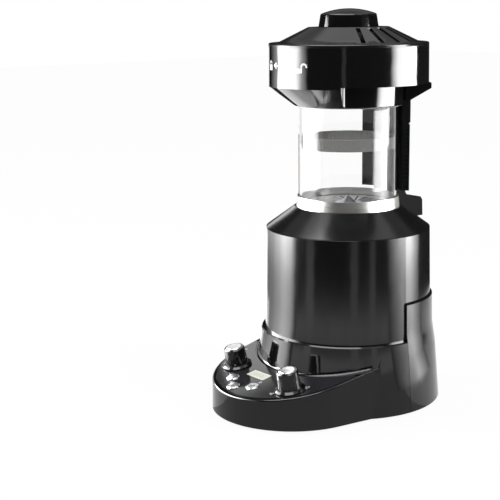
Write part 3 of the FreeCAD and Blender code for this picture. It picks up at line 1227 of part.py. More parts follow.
# ---------------------------------------------------------------- build
def build():
    base_housing()
    base_plate()
    base_screws()
    rubber_feet()
    tower_front()
    tower_rear()
    shoulder_cap()
    cord_gland()
    chamber_foot()
    ring("foot_gasket", f"{GLASS_BORE} + 0.1", "glass_radius", f"{SEAT} + foot_flange", GLASS_FOOT)
    glass_tube()
    air_plate()
    bean_ring()
    rear_post()
    post_bracket()
    post_screws()
    hinge_yoke()
    hinge_pin()
    collector_drum()
    ring("rim_gasket", "seal_inner", "seal_outer", f"{GLASS_TOP} + fit_gap", f"{LIP} + seal_thickness")
    chaff_riser()
    cover()
    cover_knob()
    cover_mesh()
    knob_screw()
    blower_housing()
    impeller()
    motor_shaft()
    fan_motor()
    motor_mount()
    heater_can()
    heater_core()
    heater_coil()
    thermal_cutout()
    control_panel()
    display_window()
    control_board()
    potentiometers()
    button_switches()
    for name in KNOBS:
        dial(name)
    for name in BUTTONS:
        push_button(name)
    power_board()


def check_and_write():
    """Stop on anything that failed to build, then write one STEP file for each piece."""
    document.recompute()
    faults = [item.Name for item in document.Objects if {"Invalid", "Error"} & set(item.State)]
    if faults:
        raise RuntimeError(f"not built: {faults}")
    os.makedirs("parts", exist_ok=True)
    for label, item in pieces.items():
        shape = item.Shape
        if shape.isNull() or not shape.isValid() or not shape.Solids:
            raise RuntimeError(f"{label} has no valid solid")
        shape.exportStep(f"parts/{label}.step")
        box = shape.BoundBox
        print(f"{label:16s} solids {len(shape.Solids)} volume {shape.Volume:10.0f}"
              f"  x {box.XMin:7.1f} {box.XMax:7.1f}  y {box.YMin:7.1f} {box.YMax:7.1f}"
              f"  z {box.ZMin:6.1f} {box.ZMax:6.1f}")


build()
check_and_write()
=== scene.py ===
# %% [markdown]
# # A countertop coffee bean roaster
#
# The roaster is a black tower with a clear glass chamber on top and a chaff collector over it.
# Its solid pieces come from the CAD model and are already in the right place, in metres. They
# could be modelled again here, but then two models would have to agree, so only their looks
# are made. This lesson sets the camera, mixes a finish for every surface, lays on the thin
# printed marks that a CAD model leaves out, and builds the studio round the roaster.

import json
from math import atan2, cos, pi, radians, sin

import bmesh
import bpy
from mathutils import Matrix, Vector
from mathutils.bvhtree import BVHTree


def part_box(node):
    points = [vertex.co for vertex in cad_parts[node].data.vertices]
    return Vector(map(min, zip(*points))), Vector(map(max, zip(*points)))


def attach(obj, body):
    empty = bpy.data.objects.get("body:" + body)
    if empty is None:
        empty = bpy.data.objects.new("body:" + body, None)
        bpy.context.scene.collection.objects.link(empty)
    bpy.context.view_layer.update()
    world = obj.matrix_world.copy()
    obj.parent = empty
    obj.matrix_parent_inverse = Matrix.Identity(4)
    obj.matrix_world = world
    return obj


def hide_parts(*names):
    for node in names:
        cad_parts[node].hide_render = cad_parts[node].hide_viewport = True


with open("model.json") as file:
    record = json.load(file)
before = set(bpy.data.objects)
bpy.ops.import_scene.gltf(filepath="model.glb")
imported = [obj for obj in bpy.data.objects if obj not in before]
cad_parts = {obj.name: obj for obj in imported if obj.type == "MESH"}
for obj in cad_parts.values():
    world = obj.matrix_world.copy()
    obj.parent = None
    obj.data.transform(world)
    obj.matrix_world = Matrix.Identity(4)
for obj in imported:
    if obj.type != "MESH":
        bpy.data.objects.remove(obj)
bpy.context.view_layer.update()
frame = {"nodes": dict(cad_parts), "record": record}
nodes = frame["nodes"]
MM = 0.001

# %% [markdown]
# ## The camera
#
# A product picture of a tall object looks best through a long lens from well back, because
# near and far rims then keep nearly the same width. The camera stands to the front right,
# a little above the top of the roaster, and looks slightly down. Its place is written as a
# bearing and a distance from the tower's axis, so it can be changed without any sums.

# %% Camera
axis_low, axis_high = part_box("glass_tube")
AXIS_Y = (axis_low.y + axis_high.y) / 2
BEARING = radians(48)
DISTANCE = 1078 * MM
EYE_HEIGHT = 359 * MM
TURN, TILT, ROLL = radians(4.80), radians(11.67), radians(-0.73)
FILM_WIDTH, LENS = 36.0, 85.4

camera_data = bpy.data.cameras.new("camera")
camera_data.sensor_width = FILM_WIDTH
camera_data.lens = LENS
camera = bpy.data.objects.new("camera", camera_data)
bpy.context.scene.collection.objects.link(camera)
eye = Vector((DISTANCE * sin(BEARING), AXIS_Y - DISTANCE * cos(BEARING), EYE_HEIGHT))
camera.matrix_world = (
    Matrix.Translation(eye)
    @ Matrix.Rotation(BEARING + TURN, 4, "Z")
    @ Matrix.Rotation(pi / 2 - TILT, 4, "X")
    @ Matrix.Rotation(ROLL, 4, "Z")
)
bpy.context.scene.camera = camera
bpy.context.scene.view_settings.view_transform = "Standard"
print("camera at", [round(x, 3) for x in camera.location])

# %% [markdown]
# ## Writing materials as sums
#
# A material is a small graph of nodes. Wiring each one by hand is slow to read, so a tiny
# class wraps an output socket and turns Python's operators into Math nodes. Every other kind
# of node comes from one method, which takes its type, its settings and what its sockets get.

# %% A socket that can be added and multiplied
class Value:
    """One output socket; sums with it add Math nodes to its graph."""

    def __init__(self, graph, socket):
        self.graph, self.socket = graph, socket

    def math(self, operation, *others, swapped=False, clamp=False):
        inputs = [self, *others]
        if swapped:
            inputs.reverse()
        settings = {"operation": operation, "use_clamp": clamp}
        return self.graph.node("ShaderNodeMath", settings, dict(enumerate(inputs)))

    def __add__(self, other):
        return self.math("ADD", other)

    def __sub__(self, other):
        return self.math("SUBTRACT", other)

    def __mul__(self, other):
        return self.math("MULTIPLY", other)

    def __truediv__(self, other):
        return self.math("DIVIDE", other)

    def __radd__(self, other):
        return self.math("ADD", other)

    def __rsub__(self, other):
        return self.math("SUBTRACT", other, swapped=True)

    def __rmul__(self, other):
        return self.math("MULTIPLY", other)

    def __rtruediv__(self, other):
        return self.math("DIVIDE", other, swapped=True)


print("sums may also start with a number:", [name for name in vars(Value) if "__r" in name])

# %% The one method that makes nodes
def set_stops(ramp, stops):
    """Give a colour ramp its (position, grey) stops."""
    while len(ramp.elements) < len(stops):
        ramp.elements.new(1.0)
    for element, (position, grey) in zip(ramp.elements, stops):
        element.position = position
        element.color = (grey, grey, grey, 1.0)


class Graph:
    """A tree of shader nodes, for a material or for the world."""

    def __init__(self, tree):
        self.tree = tree

    def node(self, kind, settings, inputs, output=0):
        """Make a node; its inputs map a socket's name or number to a value or a link."""
        made = self.tree.nodes.new(kind)
        for field, setting in settings.items():
            if field == "stops":
                set_stops(made.color_ramp, setting)
            else:
                setattr(made, field, setting)
        for place, given in inputs.items():
            self.fill(made.inputs[place], given)
        return Value(self, made.outputs[output])

    def fill(self, socket, given):
        """Put a link, a number, a vector or a colour into a socket."""
        if isinstance(given, Value):
            self.tree.links.new(given.socket, socket)
        elif socket.type == "RGBA":
            socket.default_value = (*given, 1.0)
        else:
            socket.default_value = given


print("a graph makes nodes with", Graph.node.__name__)

# %% [markdown]
# ## A finish
#
# Every surface of the roaster is one Principled shader with a little variation in it. The
# class below holds that shader and the four things that the finishes need again and again:
# noise of a given size, a ramp, a mix of two colours and a bump. Noise is read in object
# coordinates, in metres, so its size is a real size and it stays put when a part moves.

# %% A material and what varies it
class Finish(Graph):
    """A material with a Principled shader; its constants are the shader's own sockets."""

    def __init__(self, name, constants):
        self.material = bpy.data.materials.new(name)
        self.material.use_nodes = True
        super().__init__(self.material.node_tree)
        self.shader = self.tree.nodes["Principled BSDF"]
        for label, given in constants.items():
            self.feed(label, given)
        self.coordinates = self.node("ShaderNodeTexCoord", {}, {}, "Object")

    def feed(self, label, given):
        """Give one of the shader's sockets a link or a constant."""
        self.fill(self.shader.inputs[label], given)

    def noise(self, size, detail=3.0, roughness=0.5, stretch=(1, 1, 1)):
        """Noise whose blotches are about size across, stretched along the axes."""
        place = self.node("ShaderNodeMapping", {}, {0: self.coordinates, "Scale": stretch})
        return self.node("ShaderNodeTexNoise", {}, {
            "Vector": place, "Scale": 1 / size, "Detail": detail, "Roughness": roughness})

    def ramp(self, value, *stops):
        """Greys along a value, as (position, grey) stops."""
        return self.node("ShaderNodeValToRGB", {"stops": stops}, {0: value})

    def mix(self, share, one, other):
        """A mix of two colours; sockets 6 and 7 are the node's pair for colours."""
        return self.node("ShaderNodeMix", {"data_type": "RGBA"}, {0: share, 6: one, 7: other}, 2)

    def bump(self, height, depth, strength):
        """Feed a height, whose whole range is depth, to the surface's normal."""
        self.feed("Normal", self.node("ShaderNodeBump", {}, {
            "Strength": strength, "Distance": depth, "Height": height}))


print("a finish can make", [name for name in vars(Finish) if name[0] != "_"])

# %% A shelf for the finishes
FINISHES = {}


def shelve(name, finish):
    """Keep a finish under its name and say so."""
    FINISHES[name] = finish
    print("finish", name, "nodes", len(finish.tree.nodes))


print("finishes on the shelf:", len(FINISHES))

# %% [markdown]
# ## Glossy black plastic
#
# Most of the roaster is moulded in polished black plastic. The colour is nearly black all
# over, and what the eye reads is the reflection. One even gloss would be quick to set, but on
# a wall this large it looks drawn. A real moulding has a faint waviness from the mould and a
# trace of dust, so noise breaks up the roughness a little and feeds a very shallow bump. The
# tower's big wall is polished up and down, which leaves upright bands of duller gloss. The
# cones are a shade duller than the band. The post, its bracket and the hinge's yoke are
# moulded in a dead black that hardly shines.

# %% Glossy black
HAZE, DUST, MOULD_WAVE, POLISHING_BAND = 35 * MM, 0.7 * MM, 18 * MM, 7 * MM
DUST_GREY = (0.12, 0.12, 0.12)
DUST_COVER, DUST_DULLS = 0.12, 0.12


def glossy_black(name, shade, roughness, specular=0.5, streaks=0.0):
    """Polished black; streaks are upright bands of duller polish."""
    finish = Finish(name, {"IOR": 1.52, "Specular IOR Level": specular})
    haze = finish.noise(HAZE, detail=4)
    dust = finish.noise(DUST, detail=5, roughness=0.7)
    specks = finish.ramp(dust, (0.62, 0.0), (0.78, 1.0))
    finish.feed("Base Color", finish.mix(specks * DUST_COVER, shade, DUST_GREY))
    upright = finish.noise(POLISHING_BAND, stretch=(1, 1, 0.06))
    cleanest = roughness - 0.02 - streaks / 2
    dullness = haze * 0.05 + specks * DUST_DULLS + upright * streaks
    finish.feed("Roughness", dullness + cleanest)
    finish.bump(finish.noise(MOULD_WAVE, detail=1), depth=0.05 * MM, strength=0.5)
    shelve(name, finish)


BLACK, WARM_BLACK = (0.005, 0.005, 0.0054), (0.006, 0.006, 0.0064)
glossy_black("gloss_black", BLACK, roughness=0.08)
glossy_black("tower_black", BLACK, roughness=0.15, streaks=0.12)
glossy_black("cone_black", WARM_BLACK, roughness=0.18)
glossy_black("post_black", WARM_BLACK, roughness=0.45, specular=0.008)

# %% [markdown]
# ## Grained black plastic and rubber
#
# The base plate, the cord gland and the fan's casing are unpolished mouldings, and the feet
# are rubber. A fine grain scatters the light, so they look flatter and a shade lighter than
# the polished parts. Modelled grain would take millions of faces, so one noise stands for it,
# and it drives the bump, the colour and a small change of roughness together.

# %% Grained black
def grained_black(name, shade, grain_size, roughness):
    """Unpolished black, whose grains are about grain_size across."""
    finish = Finish(name, {"IOR": 1.5})
    grain = finish.noise(grain_size, detail=2)
    cloud = finish.noise(40 * MM)
    pale = tuple(3 * level for level in shade)
    finish.feed("Base Color", finish.mix(grain * 0.25 + cloud * 0.1, shade, pale))
    finish.feed("Roughness", grain * 0.1 + cloud * 0.06 + (roughness - 0.08))
    finish.bump(grain, depth=0.06 * MM, strength=0.7)
    shelve(name, finish)


grained_black("satin_black", (0.011, 0.011, 0.012), grain_size=0.45 * MM, roughness=0.42)
grained_black("fan_plastic", (0.06, 0.06, 0.065), grain_size=0.5 * MM, roughness=0.5)
grained_black("foot_rubber", (0.02, 0.02, 0.02), grain_size=0.3 * MM, roughness=0.75)

# %% [markdown]
# ## Brushed steel
#
# The chamber's foot is brushed round the tower, so its scratches run level. The shader's own
# anisotropy would smear the reflection without showing a line, so the lines are drawn by
# noise that is stretched along X and Y but not along Z. A stretch below one makes the
# blotches longer. The strip of the split ring in the glass is dark rolled steel with its
# lines across it, and the inner sheet metal and the heater's wire have no direction.

# %% Brushed steel
LEVEL_LINES, UPRIGHT_LINES = (0.015, 0.015, 1), (0.5, 0.5, 0.012)


def darker(shade, share):
    """A colour scaled down, for the low places of a grain."""
    return tuple(share * level for level in shade)


def brushed_metal(name, shade, roughness, stretch):
    """Metal with fine lines, which a stretch below one makes longer along an axis."""
    finish = Finish(name, {"Metallic": 1.0})
    lines = finish.noise(0.25 * MM, detail=4, roughness=0.7, stretch=stretch)
    cloud = finish.noise(12 * MM)
    finish.feed("Base Color", finish.mix(lines * 0.8 + cloud * 0.2, darker(shade, 0.72), shade))
    finish.feed("Roughness", lines * 0.2 + cloud * 0.08 + (roughness - 0.14))
    finish.bump(lines, depth=0.02 * MM, strength=0.6)
    shelve(name, finish)


brushed_metal("brushed", (0.66, 0.65, 0.63), roughness=0.30, stretch=LEVEL_LINES)
brushed_metal("ring_steel", (0.20, 0.197, 0.193), roughness=0.30, stretch=UPRIGHT_LINES)
brushed_metal("sheet_steel", (0.60, 0.60, 0.62), roughness=0.38, stretch=(0.2, 0.2, 0.2))
brushed_metal("wire", (0.40, 0.36, 0.33), roughness=0.45, stretch=(0.5, 0.5, 0.5))

# %% [markdown]
# ## Turned aluminium
#
# The caps of the two dials and the three buttons are turned on a lathe, so their fine lines
# are rings. The Wave texture draws rings too, but all alike, and a lathe's are not. So each
# piece gets its own copy of the finish, which knows the piece's centre, works out the
# distance from it and lays a one-dimensional noise along that distance.

# %% Turned caps and buttons
def middle(node):
    """The middle of a node's box."""
    low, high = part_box(node)
    return (low + high) / 2


def turned_metal(name, centre, shade):
    """Lathe rings round a centre."""
    finish = Finish(name, {"Metallic": 1.0})
    place = finish.node("ShaderNodeVectorMath", {"operation": "SUBTRACT"},
                        {0: finish.coordinates, 1: centre})
    reach = finish.node("ShaderNodeVectorMath", {"operation": "LENGTH"}, {0: place}, "Value")
    rings = finish.node("ShaderNodeTexNoise", {"noise_dimensions": "1D"},
                        {"W": reach, "Scale": 1 / (0.16 * MM), "Detail": 2.0})
    finish.feed("Base Color", finish.mix(rings, darker(shade, 0.8), shade))
    finish.feed("Roughness", rings * 0.16 + 0.16)
    finish.bump(rings, depth=0.015 * MM, strength=0.5)
    shelve(name, finish)


TURNED = ["left_knob_cap", "right_knob_cap", "power_button", "start_button", "cool_button"]
for node in TURNED:
    turned_metal(f"silver_{node}", tuple(middle(node)), (0.90, 0.90, 0.91))

# %% [markdown]
# ## Glass
#
# The chamber is a tube. A single thin face could stand for it, but it would have no bright
# rim. This one has a real wall, so the shader only has to be clear. Roasting glass would have
# an IOR of 1.47. In an all-white studio that lays a grey veil over whatever stands behind the
# tube, so the glass is given a weaker one, and its bright upright reflections get cards of
# their own in the studio. A trace of roughness stands for the film that chaff leaves inside.

# %% Glass
def clear_glass():
    """Clear glass, dulled here and there by a thin film."""
    finish = Finish("glass", {"Transmission Weight": 1.0, "IOR": 1.28,
                              "Base Color": (1.0, 1.0, 1.0)})
    film = finish.noise(22 * MM, detail=5)
    finish.feed("Roughness", finish.ramp(film, (0.45, 0.0), (0.9, 0.03)))
    shelve("glass", finish)


clear_glass()

# %% [markdown]
# ## The control panel and its display
#
# The panel is a thin polished plate, a little paler than the housing. The display is a
# reflective liquid crystal window: a warm pale field with a very faint grid, under gloss.
# Modelled lines would be finer than any face here, so the Brick node draws the grid, with
# bricks as pale as the field and mortar a shade darker.

# %% Panel and display
def panel_grey():
    """The polished plate under the dials and the buttons."""
    finish = Finish("panel_grey", {"IOR": 1.52})
    cloud = finish.noise(20 * MM)
    fine = finish.noise(0.5 * MM)
    low, high = (0.020, 0.020, 0.022), (0.034, 0.034, 0.037)
    finish.feed("Base Color", finish.mix(cloud * 0.6 + fine * 0.4, low, high))
    finish.feed("Roughness", cloud * 0.06 + fine * 0.03 + 0.07)
    finish.bump(fine, depth=0.004 * MM, strength=0.4)
    shelve("panel_grey", finish)


def display_window():
    """A pale field with a faint grid, under a glossy coat."""
    finish = Finish("window", {"IOR": 1.5, "Coat Weight": 1.0, "Coat Roughness": 0.05,
                               "Roughness": 0.5})
    grid = finish.node("ShaderNodeTexBrick", {}, {
        "Vector": finish.coordinates, "Scale": 1 / (2.4 * MM),
        "Color1": (0.74, 0.74, 0.62), "Color2": (0.72, 0.73, 0.60), "Mortar": (0.64, 0.65, 0.54),
        "Mortar Size": 0.02, "Brick Width": 0.5, "Row Height": 0.5})
    glow = finish.noise(9 * MM, detail=2)
    finish.feed("Base Color", finish.mix(glow * 0.35, grid, (0.80, 0.79, 0.66)))
    shelve("window", finish)


panel_grey()
display_window()

# %% [markdown]
# ## Quiet finishes
#
# The seals, the motor, the mica cards, the boards and the printing ink have no grain worth
# naming. Each gets a little mottling and a fine bump, so that it still looks like a surface
# when the lid stands open. One function with a colour and a blotch size serves them all.

# %% Seals, motor, boards and ink
def plain_finish(name, shade, roughness, blotch, metallic=0.0):
    """A lightly mottled surface with a fine bump."""
    finish = Finish(name, {"Metallic": metallic})
    mottle = finish.noise(blotch, detail=4)
    grain = finish.noise(0.4 * MM, detail=2)
    finish.feed("Base Color", finish.mix(mottle, darker(shade, 0.75), shade))
    finish.feed("Roughness", mottle * 0.12 + grain * 0.06 + (roughness - 0.09))
    finish.bump(grain, depth=0.02 * MM, strength=0.5)
    shelve(name, finish)


plain_finish("silicone", (0.42, 0.42, 0.43), roughness=0.55, blotch=6 * MM)
plain_finish("motor_grey", (0.30, 0.31, 0.33), roughness=0.4, blotch=14 * MM, metallic=0.6)
plain_finish("mica", (0.62, 0.55, 0.44), roughness=0.7, blotch=5 * MM)
plain_finish("board_green", (0.04, 0.20, 0.10), roughness=0.35, blotch=3 * MM)
plain_finish("print_white", (0.86, 0.86, 0.86), roughness=0.45, blotch=2 * MM)
plain_finish("print_dark", (0.05, 0.055, 0.05), roughness=0.5, blotch=2 * MM)
plain_finish("unlit_segments", (0.56, 0.57, 0.47), roughness=0.5, blotch=2 * MM)

# %% [markdown]
# ## Dressing the CAD pieces
#
# Each CAD node names a material slot in its record, and most nodes take the finish of that
# slot, so one line dresses them. A few glossy black ones take a black of their own, the split
# ring takes the dark rolled steel, and each turned piece takes the finish that knows its
# centre.

# %% Finish for every node
SLOT_OF = {part["node"]: part["material_slot"] for part in frame["record"]["subparts"]}
BODY_OF = {node: body for body, members in frame["record"]["behaviour"]["bodies"].items()
           for node in members}
OWN_FINISH = {
    "tower_front": "tower_black", "tower_rear": "tower_black",
    "shoulder_cap": "cone_black", "cover": "cone_black",
    "rear_post": "post_black", "post_bracket": "post_black", "hinge_yoke": "post_black",
    "bean_ring": "ring_steel",
}
OWN_FINISH.update({node: f"silver_{node}" for node in TURNED})

for name, node in nodes.items():
    node.data.materials.clear()
    node.data.materials.append(FINISHES[OWN_FINISH.get(name, SLOT_OF[name])].material)
print("dressed", len(nodes), "nodes,", len(OWN_FINISH), "of them with a finish of their own")

# %% [markdown]
# ## Smooth skins
#
# A CAD mesh is flat-shaded triangles, which shows as facets on polished curves. More
# triangles would hide the facets and make every file heavier. So a polished piece is shown by
# a copy of itself instead: the copy is merged into one skin and shaded smooth, except across
# sharp edges. A Weighted Normal modifier lets the large faces decide how a surface leans, so
# that thin slivers beside a fillet don't show. No corner moves.

# %% Smooth copies of the polished pieces
SHARP_EDGE = radians(32)
MERGE_DISTANCE = 0.002 * MM


def merge_corners(mesh):
    """Join the loose triangles of a mesh into one skin, and drop its flat normals."""
    shape = bmesh.new()
    shape.from_mesh(mesh)
    bmesh.ops.remove_doubles(shape, verts=shape.verts, dist=MERGE_DISTANCE)
    shape.to_mesh(mesh)
    shape.free()
    mesh.attributes.remove(mesh.attributes["custom_normal"])


def show_smooth(node):
    """Stand a merged, smooth-shaded copy of a CAD piece in its place."""
    mesh = nodes[node].data.copy()
    merge_corners(mesh)
    mesh.shade_smooth()
    mesh.set_sharp_from_angle(angle=SHARP_EDGE)
    skin = bpy.data.objects.new(f"{node}_skin", mesh)
    bpy.context.scene.collection.objects.link(skin)
    skin.modifiers.new("weights", "WEIGHTED_NORMAL").keep_sharp = True
    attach(skin, BODY_OF[node])
    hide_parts(node)
    print("skin of", node, "faces", len(mesh.polygons))


POLISHED = ["base_housing", "tower_front", "tower_rear", "shoulder_cap", "collector_drum",
            "cover", "cover_knob", "hinge_yoke", "glass_tube", "chamber_foot", "bean_ring",
            "rear_post", "post_bracket", "left_knob", "right_knob", "cord_gland", *TURNED]
for node in POLISHED:
    show_smooth(node)

# %% [markdown]
# ## Printed marks
#
# A pad printer lays ink on the finished mouldings. On the collector's band a closed padlock,
# an arrow and an open padlock say which way the cover turns, and small signs stand by the
# controls. A texture could carry them, but a thin piece of its own keeps a crisp edge at any
# size. Each mark is first drawn flat, in millimetres, from three kinds of stroke.

# %% Flat strokes
DEGREES_PER_STEP = 18


def bar(shape, across, up):
    """A flat rectangle between two places across and two places up."""
    made = bmesh.ops.create_grid(shape, x_segments=6, y_segments=2, size=0.5)["verts"]
    bmesh.ops.scale(shape, vec=(across[1] - across[0], up[1] - up[0], 1), verts=made)
    bmesh.ops.translate(shape, vec=(sum(across) / 2, sum(up) / 2, 0), verts=made)


def bow(shape, centre, reach, width, start, end):
    """A flat strip round a centre, from one angle to another in degrees."""
    way = Vector((cos(radians(start)), sin(radians(start)), 0))
    near, far = (shape.verts.new(Vector((*centre, 0)) + way * distance)
                 for distance in (reach - width / 2, reach + width / 2))
    edge = shape.edges.new((near, far))
    steps = max(4, round(abs(end - start) / DEGREES_PER_STEP))
    bmesh.ops.spin(shape, geom=[near, far, edge], cent=(*centre, 0), axis=(0, 0, 1),
                   angle=radians(end - start), steps=steps)


def wedge(shape, centre, reach, turn):
    """A flat triangle with a corner towards an angle in degrees."""
    made = bmesh.ops.create_circle(shape, cap_ends=True, radius=reach, segments=3)["verts"]
    spin = Matrix.Rotation(radians(turn) - atan2(made[0].co.y, made[0].co.x), 4, "Z")
    bmesh.ops.rotate(shape, cent=(0, 0, 0), matrix=spin, verts=made)
    bmesh.ops.translate(shape, vec=(*centre, 0), verts=made)
    edges = [edge for edge in shape.edges if edge.verts[0] in made and edge.verts[1] in made]
    bmesh.ops.subdivide_edges(shape, edges=edges, cuts=3, use_grid_fill=True)


print("strokes:", bar.__name__, bow.__name__, wedge.__name__)

# %% [markdown]
# ## Laying the ink
#
# The flat drawing must follow a round band, a sloping panel and small caps and buttons. One
# function does it for all. It is told how to turn a flat place into a ray, and it moves each
# corner to where the ray meets the CAD piece. A Shrinkwrap modifier does much the same, but
# it would pull both sides of the ink onto one surface. Here the ink keeps its thickness and
# reaches a little into the plastic, so no light shows under its edge.

# %% Laying a mark on a CAD piece
INK_UP, INK_DOWN = 0.06 * MM, 0.04 * MM


def plain_object(name, shape, material):
    """An object from a finished shape and one material."""
    mesh = bpy.data.meshes.new(name)
    shape.to_mesh(mesh)
    shape.free()
    mesh.materials.append(material)
    made = bpy.data.objects.new(name, mesh)
    bpy.context.scene.collection.objects.link(made)
    return made


def thicken(shape):
    """Raise a copy of a flat drawing to a height of 1 and close the sides."""
    raised = bmesh.ops.extrude_face_region(shape, geom=shape.faces[:])["geom"]
    corners = [item for item in raised if isinstance(item, bmesh.types.BMVert)]
    bmesh.ops.translate(shape, vec=(0, 0, 1), verts=corners)
    bmesh.ops.recalc_face_normals(shape, faces=shape.faces)


def lay_ink(name, shape, node, ray_of, finish="print_white"):
    """Thicken a flat drawing and lay it on a CAD piece along the rays of its places."""
    thicken(shape)
    mesh = nodes[node].data
    surface = BVHTree.FromPolygons([corner.co for corner in mesh.vertices],
                                   [face.vertices for face in mesh.polygons])
    for corner in shape.verts:
        start, way = ray_of(corner.co.x * MM, corner.co.y * MM)
        is_raised = corner.co.z > 0.5
        meeting = surface.ray_cast(start, way)[0]
        corner.co = meeting - way * (INK_UP if is_raised else -INK_DOWN)
    mark = plain_object(name, shape, FINISHES[finish].material)
    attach(mark, BODY_OF[node])
    print("mark", name, "faces", len(mark.data.polygons))


print("ink stands", round(INK_UP / MM, 3), "mm proud")

# %% [markdown]
# ## Marks on the collector's band
#
# The band is a drum about the tower's axis, so a flat place becomes an angle and a height, and
# its ray comes straight in towards the axis. The padlocks are a bar with a bow over it. The
# open one's bow is swung out to the side.

# %% Padlocks and arrow
band_low, band_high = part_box("collector_drum")
BAND_REACH = (band_high.x - band_low.x) / 2
MARK_HEIGHT = 307 * MM
BAND_RAY = 100 * MM


def round_the_tower(angle):
    """Rays towards the tower's axis, for a drawing whose middle is at an angle."""
    def ray_of(across, up):
        turn = radians(angle) + across / BAND_REACH
        outward = Vector((cos(turn), sin(turn), 0))
        return Vector((0, AXIS_Y, MARK_HEIGHT + up)) + outward * BAND_RAY, -outward
    return ray_of


closed_lock = bmesh.new()
bar(closed_lock, (-3.9, 3.9), (-4.6, 0.4))
bow(closed_lock, (0, 0.9), 2.5, 1.3, 0, 180)
for side in (-2.5, 2.5):
    bar(closed_lock, (side - 0.65, side + 0.65), (0.3, 1.0))
lay_ink("mark_closed_lock", closed_lock, "collector_drum", round_the_tower(-113))

arrow = bmesh.new()
wedge(arrow, (-9, 0), 3.6, 180)
bar(arrow, (-8, 9), (-0.6, 0.6))
lay_ink("mark_arrow", arrow, "collector_drum", round_the_tower(-97))

open_lock = bmesh.new()
bar(open_lock, (-4.4, 3.4), (-5.4, -1.6))
bar(open_lock, (2.0, 3.5), (-1.7, -0.3))
bow(open_lock, (5.4, -0.4), 2.65, 1.5, 180, -12)
lay_ink("mark_open_lock", open_lock, "collector_drum", round_the_tower(-78))

# %% [markdown]
# ## Signs on the panel
#
# The panel slopes down towards the front, and so do the caps and buttons that stand on it.
# Their rays all come down along the panel's normal, so one function serves every sign. A row
# of short strokes stands for heat, and three blades stand for the fan. The larger sign of
# each pair is the stronger setting.

# %% Rays down to the panel
PANEL_SLOPE = radians(11.1)
PANEL_OUT = Vector((0, -sin(PANEL_SLOPE), cos(PANEL_SLOPE)))
PANEL_UP = Vector((0, cos(PANEL_SLOPE), sin(PANEL_SLOPE)))
PANEL_RAY = 50 * MM
ACROSS = Vector((1, 0, 0))
plate_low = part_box("control_panel")[0]


def down_to_the_panel(x, y, turn=0.0):
    """Rays along the panel's normal, for a drawing whose middle is above (x, y)."""
    height = plate_low.z + (y - plate_low.y) * sin(PANEL_SLOPE) / cos(PANEL_SLOPE)
    centre = Vector((x, y, height))
    right = ACROSS * cos(radians(turn)) + PANEL_UP * sin(radians(turn))
    ahead = PANEL_UP * cos(radians(turn)) - ACROSS * sin(radians(turn))

    def ray_of(across, up):
        return centre + right * across + ahead * up + PANEL_OUT * PANEL_RAY, -PANEL_OUT
    return ray_of


print("the panel faces", [round(part, 3) for part in PANEL_OUT])

# %% Strokes and blades
def strokes(count, length, step=1.7, width=0.8):
    """Short strokes side by side; more of them stand for a stronger setting."""
    shape = bmesh.new()
    for k in range(count):
        place = (k - (count - 1) / 2) * step
        bar(shape, (place - width / 2, place + width / 2), (-length / 2, length / 2))
    return shape


def blades(reach, width=0.9):
    """Three curved blades round a hub, the usual sign for a fan."""
    shape = bmesh.new()
    for turn in (0, 120, 240):
        lean = radians(turn + 90)
        centre = (reach / 2 * cos(lean), reach / 2 * sin(lean))
        bow(shape, centre, reach / 2, width, turn - 60, turn + 90)
    return shape


print("signs are made of", strokes.__name__, "and", blades.__name__)

# %% Signs by the controls
# Each sign has its drawing, its place across and up from the tower's axis, and its turn.
SIGNS = {
    "sign_heat_low": (strokes(2, 3.0), -51.0, -106.5, 20),
    "sign_heat_high": (strokes(3, 2.6), -64.0, -71.0, 20),
    "sign_fan_low": (blades(1.9), 33.5, -117.0, 0),
    "sign_fan_high": (blades(2.4), 51.0, -92.0, 0),
    "sign_display": (strokes(2, 3.0), 6.8, -108.6, 70),
}
for name, (shape, x, y, turn) in SIGNS.items():
    lay_ink(name, shape, "control_panel", down_to_the_panel(x * MM, AXIS_Y + y * MM, turn))

# %% [markdown]
# ## Signs on the buttons and pointers on the caps
#
# A button or a cap gives the middle of its own sign. The buttons carry an open ring with a
# bar, a triangle and a fan. Each cap has a short line near its rim that shows the setting, and
# because it rides with the dial it turns when the dial is turned.

# %% Buttons and caps
POINTER_TURNS = {"left_knob_cap": -70, "right_knob_cap": -25}
POINTER_LENGTH, POINTER_WIDTH, POINTER_GAP = 2.5, 0.7, 0.9


def over(node, turn=0.0):
    """Rays down to the middle of a button or a cap."""
    return down_to_the_panel(middle(node).x, middle(node).y, turn)


power_sign = bmesh.new()
bow(power_sign, (0, 0), 2.3, 0.7, 125, 415)
bar(power_sign, (-0.35, 0.35), (0.6, 3.1))
lay_ink("sign_power", power_sign, "power_button", over("power_button"), "print_dark")

start_sign = bmesh.new()
wedge(start_sign, (0, 0), 2.8, 0)
lay_ink("sign_start", start_sign, "start_button", over("start_button"), "print_dark")
lay_ink("sign_cool", blades(2.5), "cool_button", over("cool_button"), "print_dark")

for node, turn in POINTER_TURNS.items():
    cap_low, cap_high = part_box(node)
    tip = (cap_high.x - cap_low.x) / 2 / MM - POINTER_GAP
    pointer = bmesh.new()
    bar(pointer, (-POINTER_WIDTH / 2, POINTER_WIDTH / 2), (tip - POINTER_LENGTH, tip))
    lay_ink(f"{node}_pointer", pointer, node, over(node, turn), "print_dark")

# %% [markdown]
# ## Digits in the display
#
# A reflective display shows the outlines of its unlit segments as a faint grey. Four eights
# and a colon of thin bars are enough, a shade darker than the field.

# %% Unlit digits
FIRST_DIGIT, DIGIT_STEP, COLON_GAP = -8.6, 4.2, 1.0
DIGIT_WIDTH, HALF_DIGIT = 3.2, 2.9
SEGMENT, COLON_RISE = 0.3, 1.4

